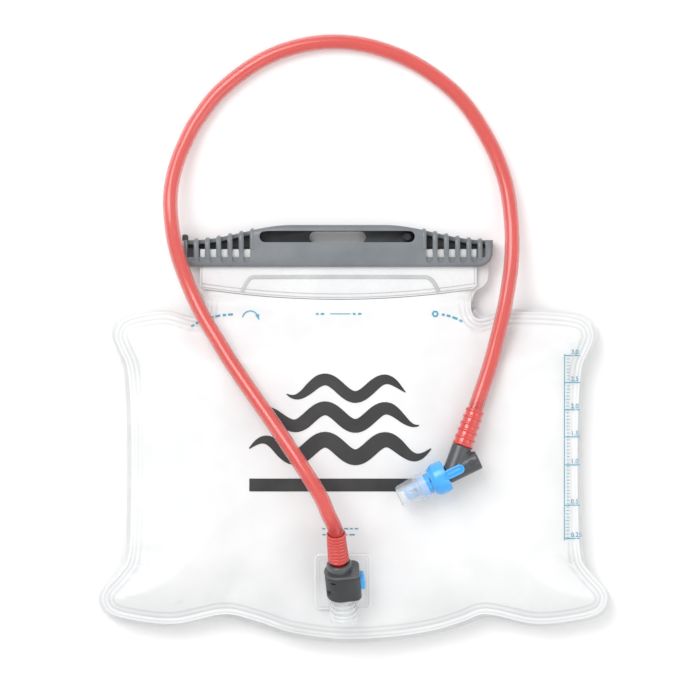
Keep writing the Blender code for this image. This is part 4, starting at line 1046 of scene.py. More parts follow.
def film_sheet(name, height, scales, outset, facing):
    """Rings of points that shrink towards the origin, each at its height, with a wall inwards."""
    left, right = rim[0].x + SEAM_STEP, rim[-1].x - SEAM_STEP
    lips = [right + (left - right) * n / MOUTH_STEPS for n in range(MOUTH_STEPS + 1)]
    lips = [right + SEAM_STEP * 0.6] + lips + [left - SEAM_STEP * 0.6]
    loop = np.array([tuple(p) for p in rim] + [(x, mouth_edge(x)) for x in lips])
    count = len(loop)
    grid = (loop[None] * scales[:, None, None]).reshape(-1, 2)
    grid = np.vstack([grid, [[0, 0]]])
    z = height(grid[:, 0], grid[:, 1])
    reach = np.linalg.norm(grid, axis=1).clip(1 * mm)
    push = 1 + outset / reach * (1 - neck_share(grid[:, 1])) * np.clip(reach / (60 * mm), 0, 1)
    verts = np.column_stack([grid * push[:, None], z])
    faces = []
    for k in range(len(scales) - 1):
        for n in range(count):
            m = (n + 1) % count
            faces.append((k * count + n, k * count + m, (k + 1) * count + m, (k + 1) * count + n))
    last, middle = (len(scales) - 1) * count, len(verts) - 1
    faces += [(last + n, last + (n + 1) % count, middle) for n in range(count)]
    if facing < 0:
        faces = [face[::-1] for face in faces]
    sheet = new_piece(name, verts.tolist(), faces, 60)
    wall = sheet.modifiers.new("wall", "SOLIDIFY")
    wall.thickness = FILM_WALL
    wall.offset = -1
    return settled(sheet, 60)


front = film_sheet("film_front", front_height, ring_scales(26, 36), 0.0, 1)
mark_welds(front)
mounted(front, "reservoir", FILM, ["front_panel"])
BACK_OUTSET = 3.2 * mm
back = film_sheet("film_back", back_height, ring_scales(14, 16), BACK_OUTSET, -1)
mark_welds(back)
mounted(back, "reservoir", FILM, ["back_panel"])


# %% Pleated side walls
PLEAT_DEPTH = 9 * mm
PLEAT_POINTS = 11


def pleat(name, start, end):
    """A folded band between the two sheets' rims, along a stretch of the rim."""
    verts, faces = [], []
    for p in rim[start:end + 1]:
        top, bottom = front_edge_z(p.y) - 0.5 * mm, back_edge_z(p.y) + 0.5 * mm
        for n in range(PLEAT_POINTS):
            u = n / (PLEAT_POINTS - 1)
            inwards = PLEAT_DEPTH * (1 - abs(2 * u - 1) ** 1.6)
            outwards = BACK_OUTSET * u
            scale = 1 - (inwards - outwards) / p.length
            verts.append((p.x * scale, p.y * scale, top + (bottom - top) * u))
    for k in range(end - start):
        for n in range(PLEAT_POINTS - 1):
            a, b = k * PLEAT_POINTS + n, (k + 1) * PLEAT_POINTS + n
            faces.append((a, a + 1, b + 1, b))
    band = new_piece(name, verts, faces, 60)
    wall = band.modifiers.new("wall", "SOLIDIFY")
    wall.thickness = FILM_WALL
    wall.offset = 0
    return settled(band, 60)


def nearest_on_rim(x, y):
    return min(range(len(rim)), key=lambda n: (rim[n] - Vector((x, y))).length)


corners = [nearest_on_rim(side * WING_HALF, HEM_WING_Y) for side in (-1, 1)]
for name, start, end, node in (("pleat_left", 8, corners[0], "left_gusset"),
                               ("pleat_bottom", corners[0], corners[1], "bottom_gusset"),
                               ("pleat_right", corners[1], len(rim) - 9, "right_gusset")):
    mounted(pleat(name, start, end), "reservoir", FILM_EDGE, [node])

# %% [markdown]
# ## Printing on the film
#
# Ink is a layer on the film, so it has to follow every rise of the sheet. Each mark is drawn flat, as
# strips of small faces, and then every point is lifted to the film's own height formula. The big mark
# is a plain pattern of waves, and the scale at the side carries only numbers. What repeats, such as the
# fine ticks, is one shape copied on to points by a node tree.

# %% A node tree that copies a shape on to points
def copies_tree():
    tree = geometry_tree("copies_at_points", (("Points", "Geometry"), ("Shape", "Object"), ("Size", "Float"),
                                              ("Finish", "Material")))
    node, link = tree.nodes.new, tree.links.new
    given, out = node("NodeGroupInput"), node("NodeGroupOutput")
    shape = node("GeometryNodeObjectInfo")
    link(given.outputs["Shape"], shape.inputs["Object"])
    copies = node("GeometryNodeInstanceOnPoints")
    link(given.outputs["Points"], copies.inputs["Points"])
    link(shape.outputs["Geometry"], copies.inputs["Instance"])
    link(given.outputs["Size"], copies.inputs["Scale"])
    real = node("GeometryNodeRealizeInstances")
    link(copies.outputs["Instances"], real.inputs["Geometry"])
    finish = node("GeometryNodeSetMaterial")
    link(real.outputs["Geometry"], finish.inputs["Geometry"])
    link(given.outputs["Finish"], finish.inputs["Material"])
    link(finish.outputs["Geometry"], out.inputs["Geometry"])
    return tree


COPIES = copies_tree()


def copied(name, shape, points, finish):
    """One shape at many points; the shape itself is used up."""
    made = node_piece(name, COPIES, points, [], shape=shape, size=1.0, finish=finish)
    bpy.data.objects.remove(shape, do_unlink=True)
    return made


# %% Ink strips
INK_LIFT = 0.16 * mm
INK_WALL = 0.10 * mm
INK_STEP = 1.6 * mm


def strip(path, width, across=4):
    """A flat band of faces along a path of (x, y) points; its width is a number or one for each point."""
    path = [p.xy for p in evenly([Vector((x, y, 0)) for x, y in path], INK_STEP)]
    widths = [width] * len(path) if isinstance(width, float) else np.interp(
        np.linspace(0, 1, len(path)), np.linspace(0, 1, len(width)), width)
    verts, faces = [], []
    for n, here in enumerate(path):
        ahead = (path[min(n + 1, len(path) - 1)] - path[max(n - 1, 0)]).normalized()
        side = Vector((-ahead.y, ahead.x))
        verts += [here + side * widths[n] * (0.5 - k / across) for k in range(across + 1)]
    row = across + 1
    for n in range(len(path) - 1):
        for k in range(across):
            a, b = n * row + k, (n + 1) * row + k
            faces.append((a, a + 1, b + 1, b))
    return verts, faces


def on_film(piece):
    """Lifts a flat mesh on to the film and gives it the thickness of ink."""
    flat = np.array([v.co[:2] for v in piece.data.vertices])
    height = front_height(flat[:, 0], flat[:, 1]) + INK_LIFT
    for v, z in zip(piece.data.vertices, height):
        v.co.z = z
    wall = piece.modifiers.new("ink", "SOLIDIFY")
    wall.thickness = INK_WALL
    wall.offset = 0
    return settled(piece)


def printed(name, strips, finish):
    """Strips of ink as one piece on the film."""
    verts, faces = [], []
    for points, quads in strips:
        faces += [tuple(i + len(verts) for i in quad) for quad in quads]
        verts += points
    flat = new_piece(name, [(*p, 0) for p in verts], faces)
    return mounted(on_film(flat), "reservoir", finish)


# %% The big mark: waves over a plain bar
WAVE_ROWS = ((26, -40, 30, 7.0), (9, -56, 38, 8.2), (-9.5, -62, 45, 9.4))
BAR_MARK = (-31, -62, 45, 7.6)
WAVE_HEIGHT, WAVE_LENGTH, WAVE_START = 5.2, 35.7, -62
WAVE_TAPER = (0.08, 0.55, 0.86, 1, 1, 1, 1, 1, 1, 0.86, 0.55, 0.08)


def wave_path(middle, start, end):
    turns = [(x, 2 * math.pi * (x - WAVE_START) / WAVE_LENGTH) for x in np.linspace(start, end, 90)]
    return [(x * mm, (middle + WAVE_HEIGHT * math.sin(turn)) * mm) for x, turn in turns]


waves = []
for middle, start, end, width in WAVE_ROWS:
    widths = [share * width * mm for share in WAVE_TAPER]
    waves.append(strip(wave_path(middle, start, end), widths))
level, start, end, width = BAR_MARK
waves.append(strip([(start * mm, level * mm), (end * mm, level * mm)], width * mm))
printed("print_waves", waves, BLACK_INK)

# %% Volume scale: a line, fine ticks, long ticks and numbers
SCALE_X = 124.6 * mm
SCALE_MARKS = ((45.2, "3.0"), (29.2, "2.5"), (13.0, "2.0"), (-3.1, "1.5"), (-19.8, "1.0"), (-43.7, "0.5"),
               (-63.5, "0.25"))
LINE_WIDTH = 0.42 * mm
scale_top, scale_bottom = (SCALE_MARKS[0][0] + 1) * mm, (SCALE_MARKS[-1][0] - 1) * mm
scale = [strip([(SCALE_X, scale_top), (SCALE_X, scale_bottom)], LINE_WIDTH, 1)]
for y, _ in SCALE_MARKS:
    scale.append(strip([(SCALE_X, y * mm), (SCALE_X + 9.4 * mm, y * mm)], 0.55 * mm, 1))
printed("print_scale", scale, CYAN_INK)

tick_rows = np.arange(SCALE_MARKS[0][0], SCALE_MARKS[-1][0], -2.0) * mm
tick = plate("tick", [(0, -0.16 * mm), (3.2 * mm, -0.16 * mm), (3.2 * mm, 0.16 * mm), (0, 0.16 * mm)],
             -INK_WALL / 2, INK_WALL / 2)
tick_heights = front_height(np.full(len(tick_rows), SCALE_X + 1.6 * mm), tick_rows) + INK_LIFT + 0.05 * mm
tick_points = [(SCALE_X, y, z) for y, z in zip(tick_rows, tick_heights)]
ticks = copied("print_ticks", tick, tick_points, CYAN_INK)
mounted(ticks, "reservoir")


def number(text, x, y, size):
    """A number as a flat mesh, its lower left corner at x, y."""
    curve = bpy.data.curves.new("number_" + text, "FONT")
    curve.body = text
    curve.size = size
    curve.resolution_u = 4
    made = bpy.data.objects.new("number_" + text, curve)
    bpy.context.scene.collection.objects.link(made)
    return placed(settled(made), Matrix.Translation((x, y, 0)))


numbers = [on_film(number(text, SCALE_X + 3.9 * mm, (y + 0.9) * mm, 3.9 * mm)) for y, text in SCALE_MARKS]
mounted(joined("print_numbers", *numbers), "reservoir", CYAN_INK)


# %% Small marks: the fill line, an opening arrow and a closing arrow
def bowed_dashes(points, dash, space, width):
    """Dashes of uneven length along a path, like words too small to read."""
    path = evenly([Vector((x * mm, y * mm, 0)) for x, y in points], 0.4 * mm)
    made, place, n = [], 0.0, 0
    total = length_of(path)
    while place + dash * mm < total:
        length = dash * (0.75 + 0.5 * ((n * 7) % 5) / 4) * mm
        first = round(place / total * (len(path) - 1))
        last = round(min(place + length, total) / total * (len(path) - 1))
        if last > first + 1:
            made.append(strip([p.xy for p in path[first:last]], width * mm, 1))
        place += length + space * mm
        n += 1
    return made


marks = bowed_dashes([(-23, 70), (-16, 70)], 2.6, 1.0, 1.1) + bowed_dashes([(-1, 70), (6, 70)], 2.6, 1.0, 1.1)
marks.append(strip([(-14.5 * mm, 70 * mm), (-2.5 * mm, 70 * mm)], 0.5 * mm, 1))
marks += bowed_dashes([(-97, 62.5), (-92, 65.5), (-86, 67.8), (-79, 69.2), (-72, 69.8)], 3.0, 1.0, 1.3)
marks.append(strip(arc(-62 * mm, 67.2 * mm, 4.6 * mm, 170, 20, 24), 0.7 * mm, 1))
marks.append(strip([(-57.9 * mm, 69.6 * mm), (-56.7 * mm, 66.4 * mm)], [2.4 * mm, 0.2 * mm], 2))
marks.append(strip(arc(48 * mm, 70 * mm, 1.6 * mm, 0, 360, 40), 1.1 * mm, 1))
marks += bowed_dashes([(52, 69.7), (57, 68.6), (62, 66.6), (66.5, 64)], 2.7, 0.9, 1.3)
marks += bowed_dashes([(-19, -56.8), (4.5, -56.8)], 2.4, 0.9, 0.8)
marks += bowed_dashes([(-19, -60.4), (4.5, -60.4)], 3.2, 0.9, 0.8)
printed("print_small_marks", marks, CYAN_INK)

# %% [markdown]
# ## The mouth
#
# Two clear plates stiffen the mouth. A bead along their top edge is what the bar hooks on to, a double
# rib follows the bowed weld to the film, and a folded channel like a wide staple keeps the plate flat.
# The plate is a flat outline; the ribs are thin tubes sunk half into it.

# %% Mouth plates and their film margin
PLATE = 1.4 * mm
PLATE_HALF = 82.5 * mm
BEAD_LOW_Y, BEAD_HIGH_Y, BEAD_RISE = 103 * mm, 108.6 * mm, 1.2 * mm
PLATE_LEFT, PLATE_RIGHT = NECK_X - PLATE_HALF, NECK_X + PLATE_HALF


def bowed(lift, start, end, count=40):
    """Points along the bowed weld, raised by this much."""
    xs = np.linspace(start, end, count)
    return [(x, max(mouth_edge(x), MOUTH_EDGE_Y - MOUTH_BOW) + lift) for x in xs]


def plate_outline():
    low = bowed(GAP, PLATE_LEFT + 2 * mm, PLATE_RIGHT - 2 * mm)
    corner = [(PLATE_RIGHT, low[-1][1] + 2 * mm), (PLATE_RIGHT, BEAD_HIGH_Y), (PLATE_LEFT, BEAD_HIGH_Y),
              (PLATE_LEFT, low[0][1] + 2 * mm)]
    return low + corner


def rib(path, radius, z, flat=0.55):
    made = pipe("rib", evenly([Vector((x, y, 0)) for x, y in path], 2 * mm), radius, 0, 10)
    made.data.materials.append(PLATE_RIB)
    return placed(made, Matrix.Translation((0, 0, z)) @ Matrix.Diagonal((1, 1, flat, 1)))


def bead_outline(inset):
    """The thick band along the top edge of a mouth plate."""
    left, right = PLATE_LEFT + inset, PLATE_RIGHT - inset
    low, high = BEAD_LOW_Y + inset, BEAD_HIGH_Y - inset
    return [(left, low), (right, low), (right, high), (left, high)]


def mouth_plate(name, side, node):
    lip = MOUTH_Z + side * (FRONT_LIP_Z - MOUTH_Z)
    inner, outer = sorted((lip, lip + side * PLATE))
    sheet = softened(plate(name + "_sheet", plate_outline(), inner, outer), 0.3 * mm, 2)
    low, high = sorted((lip + side * 0.2 * mm, lip + side * (PLATE + BEAD_RISE)))
    bead = pillow(name + "_bead", bead_outline, low, high, 0.8 * mm, 4)
    parts = [sheet, bead]
    for part in parts:
        part.data.materials.append(PLATE_CLEAR)
    face = lip + side * PLATE
    for lift, radius in ((1.3 * mm, 0.35 * mm), (3.4 * mm, 0.3 * mm)):
        parts.append(rib(bowed(lift, PLATE_LEFT + 1.5 * mm, PLATE_RIGHT - 1.5 * mm, 60), radius, face))
    channel = [(-67 * mm, 83.2 * mm), (-64.4 * mm, 88.4 * mm), (-62 * mm, 91.2 * mm), (-58 * mm, 91.9 * mm),
               (40 * mm, 91.9 * mm), (44.6 * mm, 91.2 * mm), (47.4 * mm, 88.4 * mm), (50.2 * mm, 83.2 * mm)]
    channel = [p.xy for p in smooth_path([(x, y, 0) for x, y in channel], 8)]
    # The channel's grey finish is painted shade of the groove it stands for.
    parts.append(rib(channel, 1.25 * mm, face, 0.42))
    for x in (PLATE_LEFT + 1.2 * mm, PLATE_RIGHT - 1.2 * mm):
        parts.append(rib([(x, 87 * mm), (x, 101.5 * mm)], 0.3 * mm, face))
    made = joined(name, *parts)
    return mounted(made, "reservoir", None, [node])


mouth_plate("mouth_plate_front", 1, "front_mouth_plate")
mouth_plate("mouth_plate_back", -1, "back_mouth_plate")
MARGIN = 7.4 * mm
for name, edge, side in (("mouth_margin_left", PLATE_LEFT, -1), ("mouth_margin_right", PLATE_RIGHT, 1)):
    margin = [(edge - side * 3 * mm, 104 * mm), (edge + side * MARGIN * 0.86, 104 * mm),
              (edge + side * MARGIN, 97 * mm), (edge + side * (MARGIN - 0.6 * mm), 90 * mm),
              (edge + side * (MARGIN - 3.4 * mm), 86.2 * mm), (edge - side * 1.4 * mm, 83.2 * mm),
              (edge - side * 3 * mm, 76 * mm), (edge - side * 6 * mm, 76 * mm)]
    margin = filleted(margin[::-side], 3 * mm)
    sheet = plate(name, margin, MOUTH_Z - 0.35 * mm, MOUTH_Z + 0.35 * mm)
    mounted(softened(sheet, 0.12 * mm, 2), "reservoir", FILM_EDGE)

# %% [markdown]
# ## The closure bar
#
# The bar is one long moulded shell with a channel inside that slides over both beads and pinches the
# film shut. Near its ends the wall is cut into round-ended slots, and rounded ribs stand between them.
# It starts as an outline with rolled edges; channel, window and slots are cut with Booleans, as a mould
# maker would, and a last bevel softens the cut edges so that they catch a line of light.

# %% Sizes of the bar
BAR_LEFT, BAR_RIGHT = -102 * mm, 82.4 * mm
BAR_BOTTOM_Y, BAR_END_Y, BAR_TOP_Y = 98 * mm, 114 * mm, 123 * mm
BAR_WALL, BAR_END_WALL, BAR_LIP_Y, SLIDING = 2.4 * mm, 2.5 * mm, 102.3 * mm, 0.6 * mm
MOUTH_HALF_GAP = FRONT_LIP_Z - MOUTH_Z
BAR_INSIDE = MOUTH_HALF_GAP + PLATE + BEAD_RISE + GAP
BAR_THROAT = MOUTH_HALF_GAP + PLATE + SLIDING
BAR_OUTSIDE = BAR_INSIDE + BAR_WALL
SLOT_PITCH, SLOT_WIDTH, SLOT_COUNT = 6.7 * mm, 4 * mm, 6
SLOT_STARTS = (-97.6 * mm, 44.6 * mm)
SLOT_BOTTOM_Y = 100.4 * mm
WINDOW_X, WINDOW_Y = (-56.6 * mm, 35.9 * mm), (112.6 * mm, 119.4 * mm)
HANGER_X = (-27 * mm, 6.8 * mm)
PEG_X = 31.6 * mm
RECESS, THROUGH_Y, BEYOND = 1.5 * mm, SLOT_BOTTOM_Y + 3.4 * mm, 5 * mm
LAST_SLOT_SHIFT, LAST_SLOT_TRIM, LAST_SLOT_LIFT = 1.5 * mm, 0.7 * mm, 3 * mm
print("bar, mm:", round((BAR_RIGHT - BAR_LEFT) / mm, 1), "long and", round(2 * BAR_OUTSIDE / mm, 1), "thick")


def bar_top(x):
    """Height of the arched top edge."""
    middle, half = (BAR_LEFT + BAR_RIGHT) / 2, (BAR_RIGHT - BAR_LEFT) / 2
    share = abs(x - middle) / half
    return BAR_END_Y + (BAR_TOP_Y - BAR_END_Y) * (1 - float(eased(0.3, 0.95, share)))


def bar_outline(inset):
    """Front view of the bar: a round left foot, a slanted mouth at the right and an arched top."""
    left, right, bottom = BAR_LEFT + inset, BAR_RIGHT - inset, BAR_BOTTOM_Y + inset
    foot = arc(left + 5 * mm, bottom + 5 * mm, 5 * mm, 180, 270, 10)
    slant = arc(right - 9 * mm, bottom + 9 * mm, 9 * mm, 270, 350, 12)
    top = [(x, bar_top(x) - inset) for x in np.linspace(right, left, 64)]
    return foot + slant + top


def hollow_outline(inset=0.0):
    """The room above the beads, under the arched top."""
    low = BEAD_HIGH_Y + SLIDING + inset
    xs = np.linspace(BAR_RIGHT - BAR_END_WALL - inset, BAR_LEFT + BAR_END_WALL + inset, 56)
    top = [(x, bar_top(x) - BAR_WALL - inset) for x in xs]
    return top + [(xs[-1], low), (xs[0], low)]


# %% The shell
def closure_bar():
    """The shell with its cuts. The slot beside the slanted mouth is smaller than the others and is cut
    last, with the fast solver, because the exact solver loses the shell there."""
    bar = pillow("closure_bar", bar_outline, MOUTH_Z - BAR_OUTSIDE, MOUTH_Z + BAR_OUTSIDE, 2.2 * mm, 8,
                 lean=2.0)
    inside, mouth = BAR_LEFT + BAR_END_WALL, BAR_RIGHT + BEYOND
    face, outside = MOUTH_Z + BAR_INSIDE, MOUTH_Z + BAR_OUTSIDE
    tools = [
        block("channel", (inside, BAR_LIP_Y, MOUTH_Z - BAR_INSIDE),
              (mouth, BEAD_HIGH_Y + SLIDING + 0.01 * mm, face)),
        block("throat", (inside, BAR_BOTTOM_Y - BEYOND, MOUTH_Z - BAR_THROAT),
              (mouth, BAR_LIP_Y + 1 * mm, MOUTH_Z + BAR_THROAT)),
        plate("hollow", hollow_outline(), MOUTH_Z - BAR_INSIDE, face),
        plate("window", stadium(WINDOW_X, WINDOW_Y), face - 1 * mm, outside + BEYOND),
        plate("hanger_hole", stadium(HANGER_X, WINDOW_Y), MOUTH_Z - BAR_OUTSIDE - BEYOND, MOUTH_Z),
    ]
    for start in SLOT_STARTS:
        for n in range(SLOT_COUNT):
            x, half, bottom = start + n * SLOT_PITCH, SLOT_WIDTH / 2, SLOT_BOTTOM_Y
            at_mouth = x > BAR_RIGHT - 6 * mm
            if at_mouth:
                x, half, bottom = x - LAST_SLOT_SHIFT, half - LAST_SLOT_TRIM, bottom + LAST_SLOT_LIFT
            foot = arc(x, bottom + half, half, 180, 360, 12)
            outline = foot + [(x + half, BAR_TOP_Y + BEYOND), (x - half, BAR_TOP_Y + BEYOND)]
            if at_mouth:
                last_slot = plate("last_slot", outline, MOUTH_Z + 0.5 * mm, outside + BEYOND)
                continue
            tools.append(plate(f"recess_{n}", outline, outside - RECESS, outside + BEYOND))
            tools.append(block(f"slot_{n}", (x - half + 0.02 * mm, THROUGH_Y, MOUTH_Z + 0.5 * mm),
                               (x + half - 0.02 * mm, BAR_TOP_Y + BEYOND, outside + 4 * mm)))
    cut(bar, "DIFFERENCE", *tools)
    return softened(cut(bar, "DIFFERENCE", last_slot, solver="FAST"), 0.4 * mm, 3, 50)


def rounded_ribs():
    """Round ribs between the slots, one shape copied on to points along the top edge."""
    face, reach = MOUTH_Z + BAR_OUTSIDE - 1.15 * mm, 11.5 * mm
    over = [(0, -reach, face), (0, -reach + 1.5 * mm, face + 0.1 * mm), (0, -4 * mm, face),
            (0, -1.6 * mm, face - 0.9 * mm), (0, -0.45 * mm, face - 3.4 * mm),
            (0, -0.45 * mm, face - 6 * mm)]
    shape = pipe("rib_shape", smooth_path(over, 6), 1.55 * mm, 0, 16)
    xs = [start + (n + 0.5) * SLOT_PITCH for start in SLOT_STARTS for n in range(SLOT_COUNT - 1)]
    xs += [SLOT_STARTS[0] + (SLOT_COUNT - 0.52) * SLOT_PITCH, SLOT_STARTS[1] - 0.48 * SLOT_PITCH]
    return copied("rib_row", shape, [(x, bar_top(x), 0) for x in xs], GREY)


bar = closure_bar()
bar.data.materials.append(GREY)
mounted(joined("closure_bar", bar, rounded_ribs()), "slide_bar", None, ["slide_bar"])


# %% The plate inside, its peg and the end nub, in a grey darkened as painted shade
PLATE_LOW = MOUTH_Z - BAR_INSIDE + GAP
HANGER_PLATE, PEG_RADIUS, PEG_RISE = 1.6 * mm, 2.2 * mm, 6 * mm
NUB_X, NUB_Y = -101 * mm, 115.2 * mm


def nub_outline(inset):
    outline = rounded_rectangle(3.6 * mm - 2 * inset, 4.4 * mm - 2 * inset, 1.3 * mm - inset * 0.8)
    return [(x + NUB_X, y + NUB_Y) for x, y in outline]


def inner_plate():
    made = plate("inner_plate", hollow_outline(GAP), PLATE_LOW, PLATE_LOW + HANGER_PLATE)
    hole = plate("plate_hole", stadium(HANGER_X, WINDOW_Y), PLATE_LOW - 5 * mm, PLATE_LOW + 5 * mm)
    made = softened(cut(made, "DIFFERENCE", hole), 0.25 * mm, 2, 50)
    top = PLATE_LOW + HANGER_PLATE + PEG_RISE
    profile = [(0, PLATE_LOW + 0.4 * mm), (PEG_RADIUS, PLATE_LOW + 0.4 * mm), (PEG_RADIUS, top - 0.4 * mm),
               (PEG_RADIUS - 0.4 * mm, top), (PEG_RADIUS - 0.7 * mm, top),
               (PEG_RADIUS - 0.9 * mm, top - 0.6 * mm), (PEG_RADIUS - 1.3 * mm, top - 0.6 * mm),
               (PEG_RADIUS - 1.5 * mm, top - 0.1 * mm), (0, top - 0.1 * mm)]
    peg = placed(turned("peg", profile), Matrix.Translation((PEG_X, sum(WINDOW_Y) / 2, 0)))
    spring_arm = stadium((PEG_X - 3.4 * mm, PEG_X + 3.6 * mm),
                         (WINDOW_Y[0] + 0.6 * mm, WINDOW_Y[1] - 0.6 * mm))
    arm_plate = plate("peg_arm", spring_arm, PLATE_LOW + 0.5 * mm, PLATE_LOW + HANGER_PLATE + 2.2 * mm)
    nub = pillow("nub", nub_outline, 5.4 * mm, 10.6 * mm, 0.6 * mm, 3)
    return joined("inner_plate", made, peg, softened(arm_plate, 0.4 * mm, 3), nub)


# Its darker grey is painted shade of the recess behind the bar's window.
mounted(inner_plate(), "slide_bar", PLATE_PAINTED_SHADE, ["hanger_plate"])

# %% [markdown]
# ## The port and its connector
#
# A square patch of film is welded over the port, and a clear ribbed stub rises from it at a slant. The
# connector is a dark shell with a round side and a square side; a lid of lighter plastic closes it, and
# the square side holds the blue button. All of it is built in the stub's own frame, with the stub
# pointing up, and then carried to its place by one matrix.

# %% Welded patch
seat = Matrix.Translation(PORT_SEAT) @ Matrix.Rotation(PORT_TILT, 4, "X")


def patch_outline(inset):
    corner = max(3.6 * mm - inset, 1 * mm)
    return rounded_rectangle(PATCH_WIDTH - 2 * inset, PATCH_LENGTH - 2 * inset, corner, 10)


def weld_frame(name, inset, width, low, high):
    made = pillow(name, lambda roll: patch_outline(inset + roll), low, high, 0.14 * mm, 3)
    inner = plate("inner", patch_outline(inset + width), low - 1 * mm, high + 1 * mm)
    return cut(made, "DIFFERENCE", inner)


patch = joined("port_patch_film", pillow("patch", patch_outline, GAP, 1.0 * mm, 0.3 * mm, 3),
               weld_frame("weld_outer", 0.5 * mm, 1.1 * mm, 0.9 * mm, 1.3 * mm),
               weld_frame("weld_inner", 2.4 * mm, 0.7 * mm, 0.9 * mm, 1.22 * mm))
mounted(placed(patch, seat), "reservoir", FILM, ["port_patch"])

# %% Clear stub with its ribs
RIB_COUNT, RIB_LOW, RIB_HIGH = 4, 3.05 * mm, 12.65 * mm
FLANGE_RADIUS, HUB_RADIUS, STUB_BORE = 10 * mm, 8.8 * mm, 3.4 * mm
SPIGOT_RADIUS = 5 * mm
FLANGE_Y = -95.8 * mm


def clear_stub():
    outside = filleted([(2.2 * mm, -3 * mm), (HUB_RADIUS, -3 * mm), (HUB_RADIUS, 0.9 * mm),
                        (7.6 * mm, 1.6 * mm), (6.1 * mm, 13.5 * mm),
                        (SPIGOT_RADIUS, 13.9 * mm), (SPIGOT_RADIUS, 19.2 * mm),
                        (4.3 * mm, 19.3 * mm), (4.3 * mm, 21.1 * mm), (SPIGOT_RADIUS, 21.2 * mm),
                        (SPIGOT_RADIUS, 21.8 * mm), (4.2 * mm, 21.9 * mm), (4.2 * mm, 23.3 * mm),
                        (SPIGOT_RADIUS, 23.4 * mm), (SPIGOT_RADIUS, 25.2 * mm), (4.2 * mm, 26 * mm),
                        (STUB_BORE, 26 * mm), (STUB_BORE, 9 * mm), (2.2 * mm, 9 * mm)], 0.12 * mm, 2)
    core = placed(turned("stub_core", outside, 72), stub)
    seat_top = plate("above_patch", rounded_rectangle(80 * mm, 80 * mm, 1 * mm), 1.4 * mm, 60 * mm)
    core = cut(core, "INTERSECT", placed(seat_top, seat))
    lift = (FLANGE_Y - PORT_SEAT.y) / math.cos(PORT_TILT)
    centre = seat @ Matrix.Translation((0.6 * mm, lift, 0))
    flange = turned("flange", filleted([(0, 1.4 * mm), (FLANGE_RADIUS, 1.4 * mm), (FLANGE_RADIUS, 2.8 * mm),
                                        (0, 2.8 * mm)], 0.4 * mm, 3), 72)
    path = [stub @ Vector((0, 0, RIB_LOW + (RIB_HIGH - RIB_LOW) * n / 12)) for n in range(13)]
    ribs = node_piece("stub_ribs", RINGS_ALONG, path, [(n, n + 1) for n in range(12)], rings=RIB_COUNT,
                      radius=7.75 * mm, end_scale=0.84, bead=0.85 * mm, flatness=1.0, finish=CLEAR)
    return joined("port_stub", core, placed(flange, centre), ribs)


mounted(clear_stub(), "reservoir", CLEAR, ["port_base"])

# %% Connector shell, lid, neck and pocket
SHELL_RADIUS, SHELL_RIGHT, SHELL_CENTRE = 8.5 * mm, 11.4 * mm, -0.6 * mm
SHELL_LOW, LID_Z, SHELL_HIGH = 14.6 * mm, 30.9 * mm, 32.6 * mm
BUTTON_Z, BUTTON_HALF = 23.6 * mm, 4.4 * mm


def shell_outline(inset):
    """Round on the left, square with soft corners on the right."""
    radius, right, corner = SHELL_RADIUS - inset, SHELL_RIGHT - inset, 4 * mm - inset
    return (arc(SHELL_CENTRE, 0, radius, 90, 270, 30)
            + arc(right - corner, corner - radius, corner, 270, 360, 12)
            + arc(right - corner, radius - corner, corner, 0, 90, 12))


def side_block(name, width, height, depth, edge, corner):
    """A rounded block that faces the square side; width runs along Y and height along Z."""
    low, high = depth
    made = pillow(name, lambda inset: rounded_rectangle(width - 2 * inset, height - 2 * inset,
                                                        max(corner - inset, 0.2 * mm)), low, high, edge, 4)
    return placed(made, Matrix(((0, 0, 1, 0), (1, 0, 0, 0), (0, 1, 0, BUTTON_Z), (0, 0, 0, 1))))


def connector_bore():
    """The room for the spigot, and the water passage above it."""
    return turned("bore", [(0, 10 * mm), (5.4 * mm, 10 * mm), (5.4 * mm, 27.4 * mm), (3 * mm, 27.4 * mm),
                           (3 * mm, 40 * mm), (0, 40 * mm)])


def connector_shell():
    shell = pillow("shell", shell_outline, SHELL_LOW, LID_Z - 0.12 * mm, 0.9 * mm, 5)
    lid = pillow("lid", lambda inset: shell_outline(inset - 0.25 * mm), LID_Z, SHELL_HIGH, 0.75 * mm, 5)
    neck = turned("neck", filleted([(3 * mm, 30 * mm), (6.4 * mm, 30 * mm), (6.4 * mm, NECK_END),
                                    (3 * mm, NECK_END)], 0.3 * mm, 2))
    seam = plate("seam", shell_outline(0.45 * mm), LID_Z - 0.8 * mm, LID_Z + 0.5 * mm)
    pocket = side_block("pocket", 9.4 * mm, 9.4 * mm, (6.3 * mm, 20 * mm), 0.1 * mm, 1.6 * mm)
    slot = block("side_slot", (-12 * mm, -12 * mm, 27.6 * mm), (-3.2 * mm, -6.2 * mm, 28.8 * mm))
    shell = softened(cut(shell, "DIFFERENCE", pocket, slot), 0.28 * mm, 3, 50)
    for part, finish in ((shell, DARK), (seam, DARK), (lid, LID_GREY), (neck, LID_GREY)):
        cut(part, "DIFFERENCE", connector_bore())
        part.data.materials.clear()
        part.data.materials.append(finish)
    return placed(joined("connector", shell, seam, lid, neck), stub)


mounted(connector_shell(), "coupler", None, ["connector_housing"])
collar = turned("collar", filleted([(4.8 * mm, 34.9 * mm), (7.35 * mm, 34.9 * mm), (7.35 * mm, 37.3 * mm),
                                    (6.6 * mm, 38.2 * mm), (5.2 * mm, 38.2 * mm), (4.8 * mm, 37.8 * mm)],
                                   0.35 * mm, 4), 72)
mounted(placed(collar, stub), "coupler", LID_GREY, ["tube_collar"])

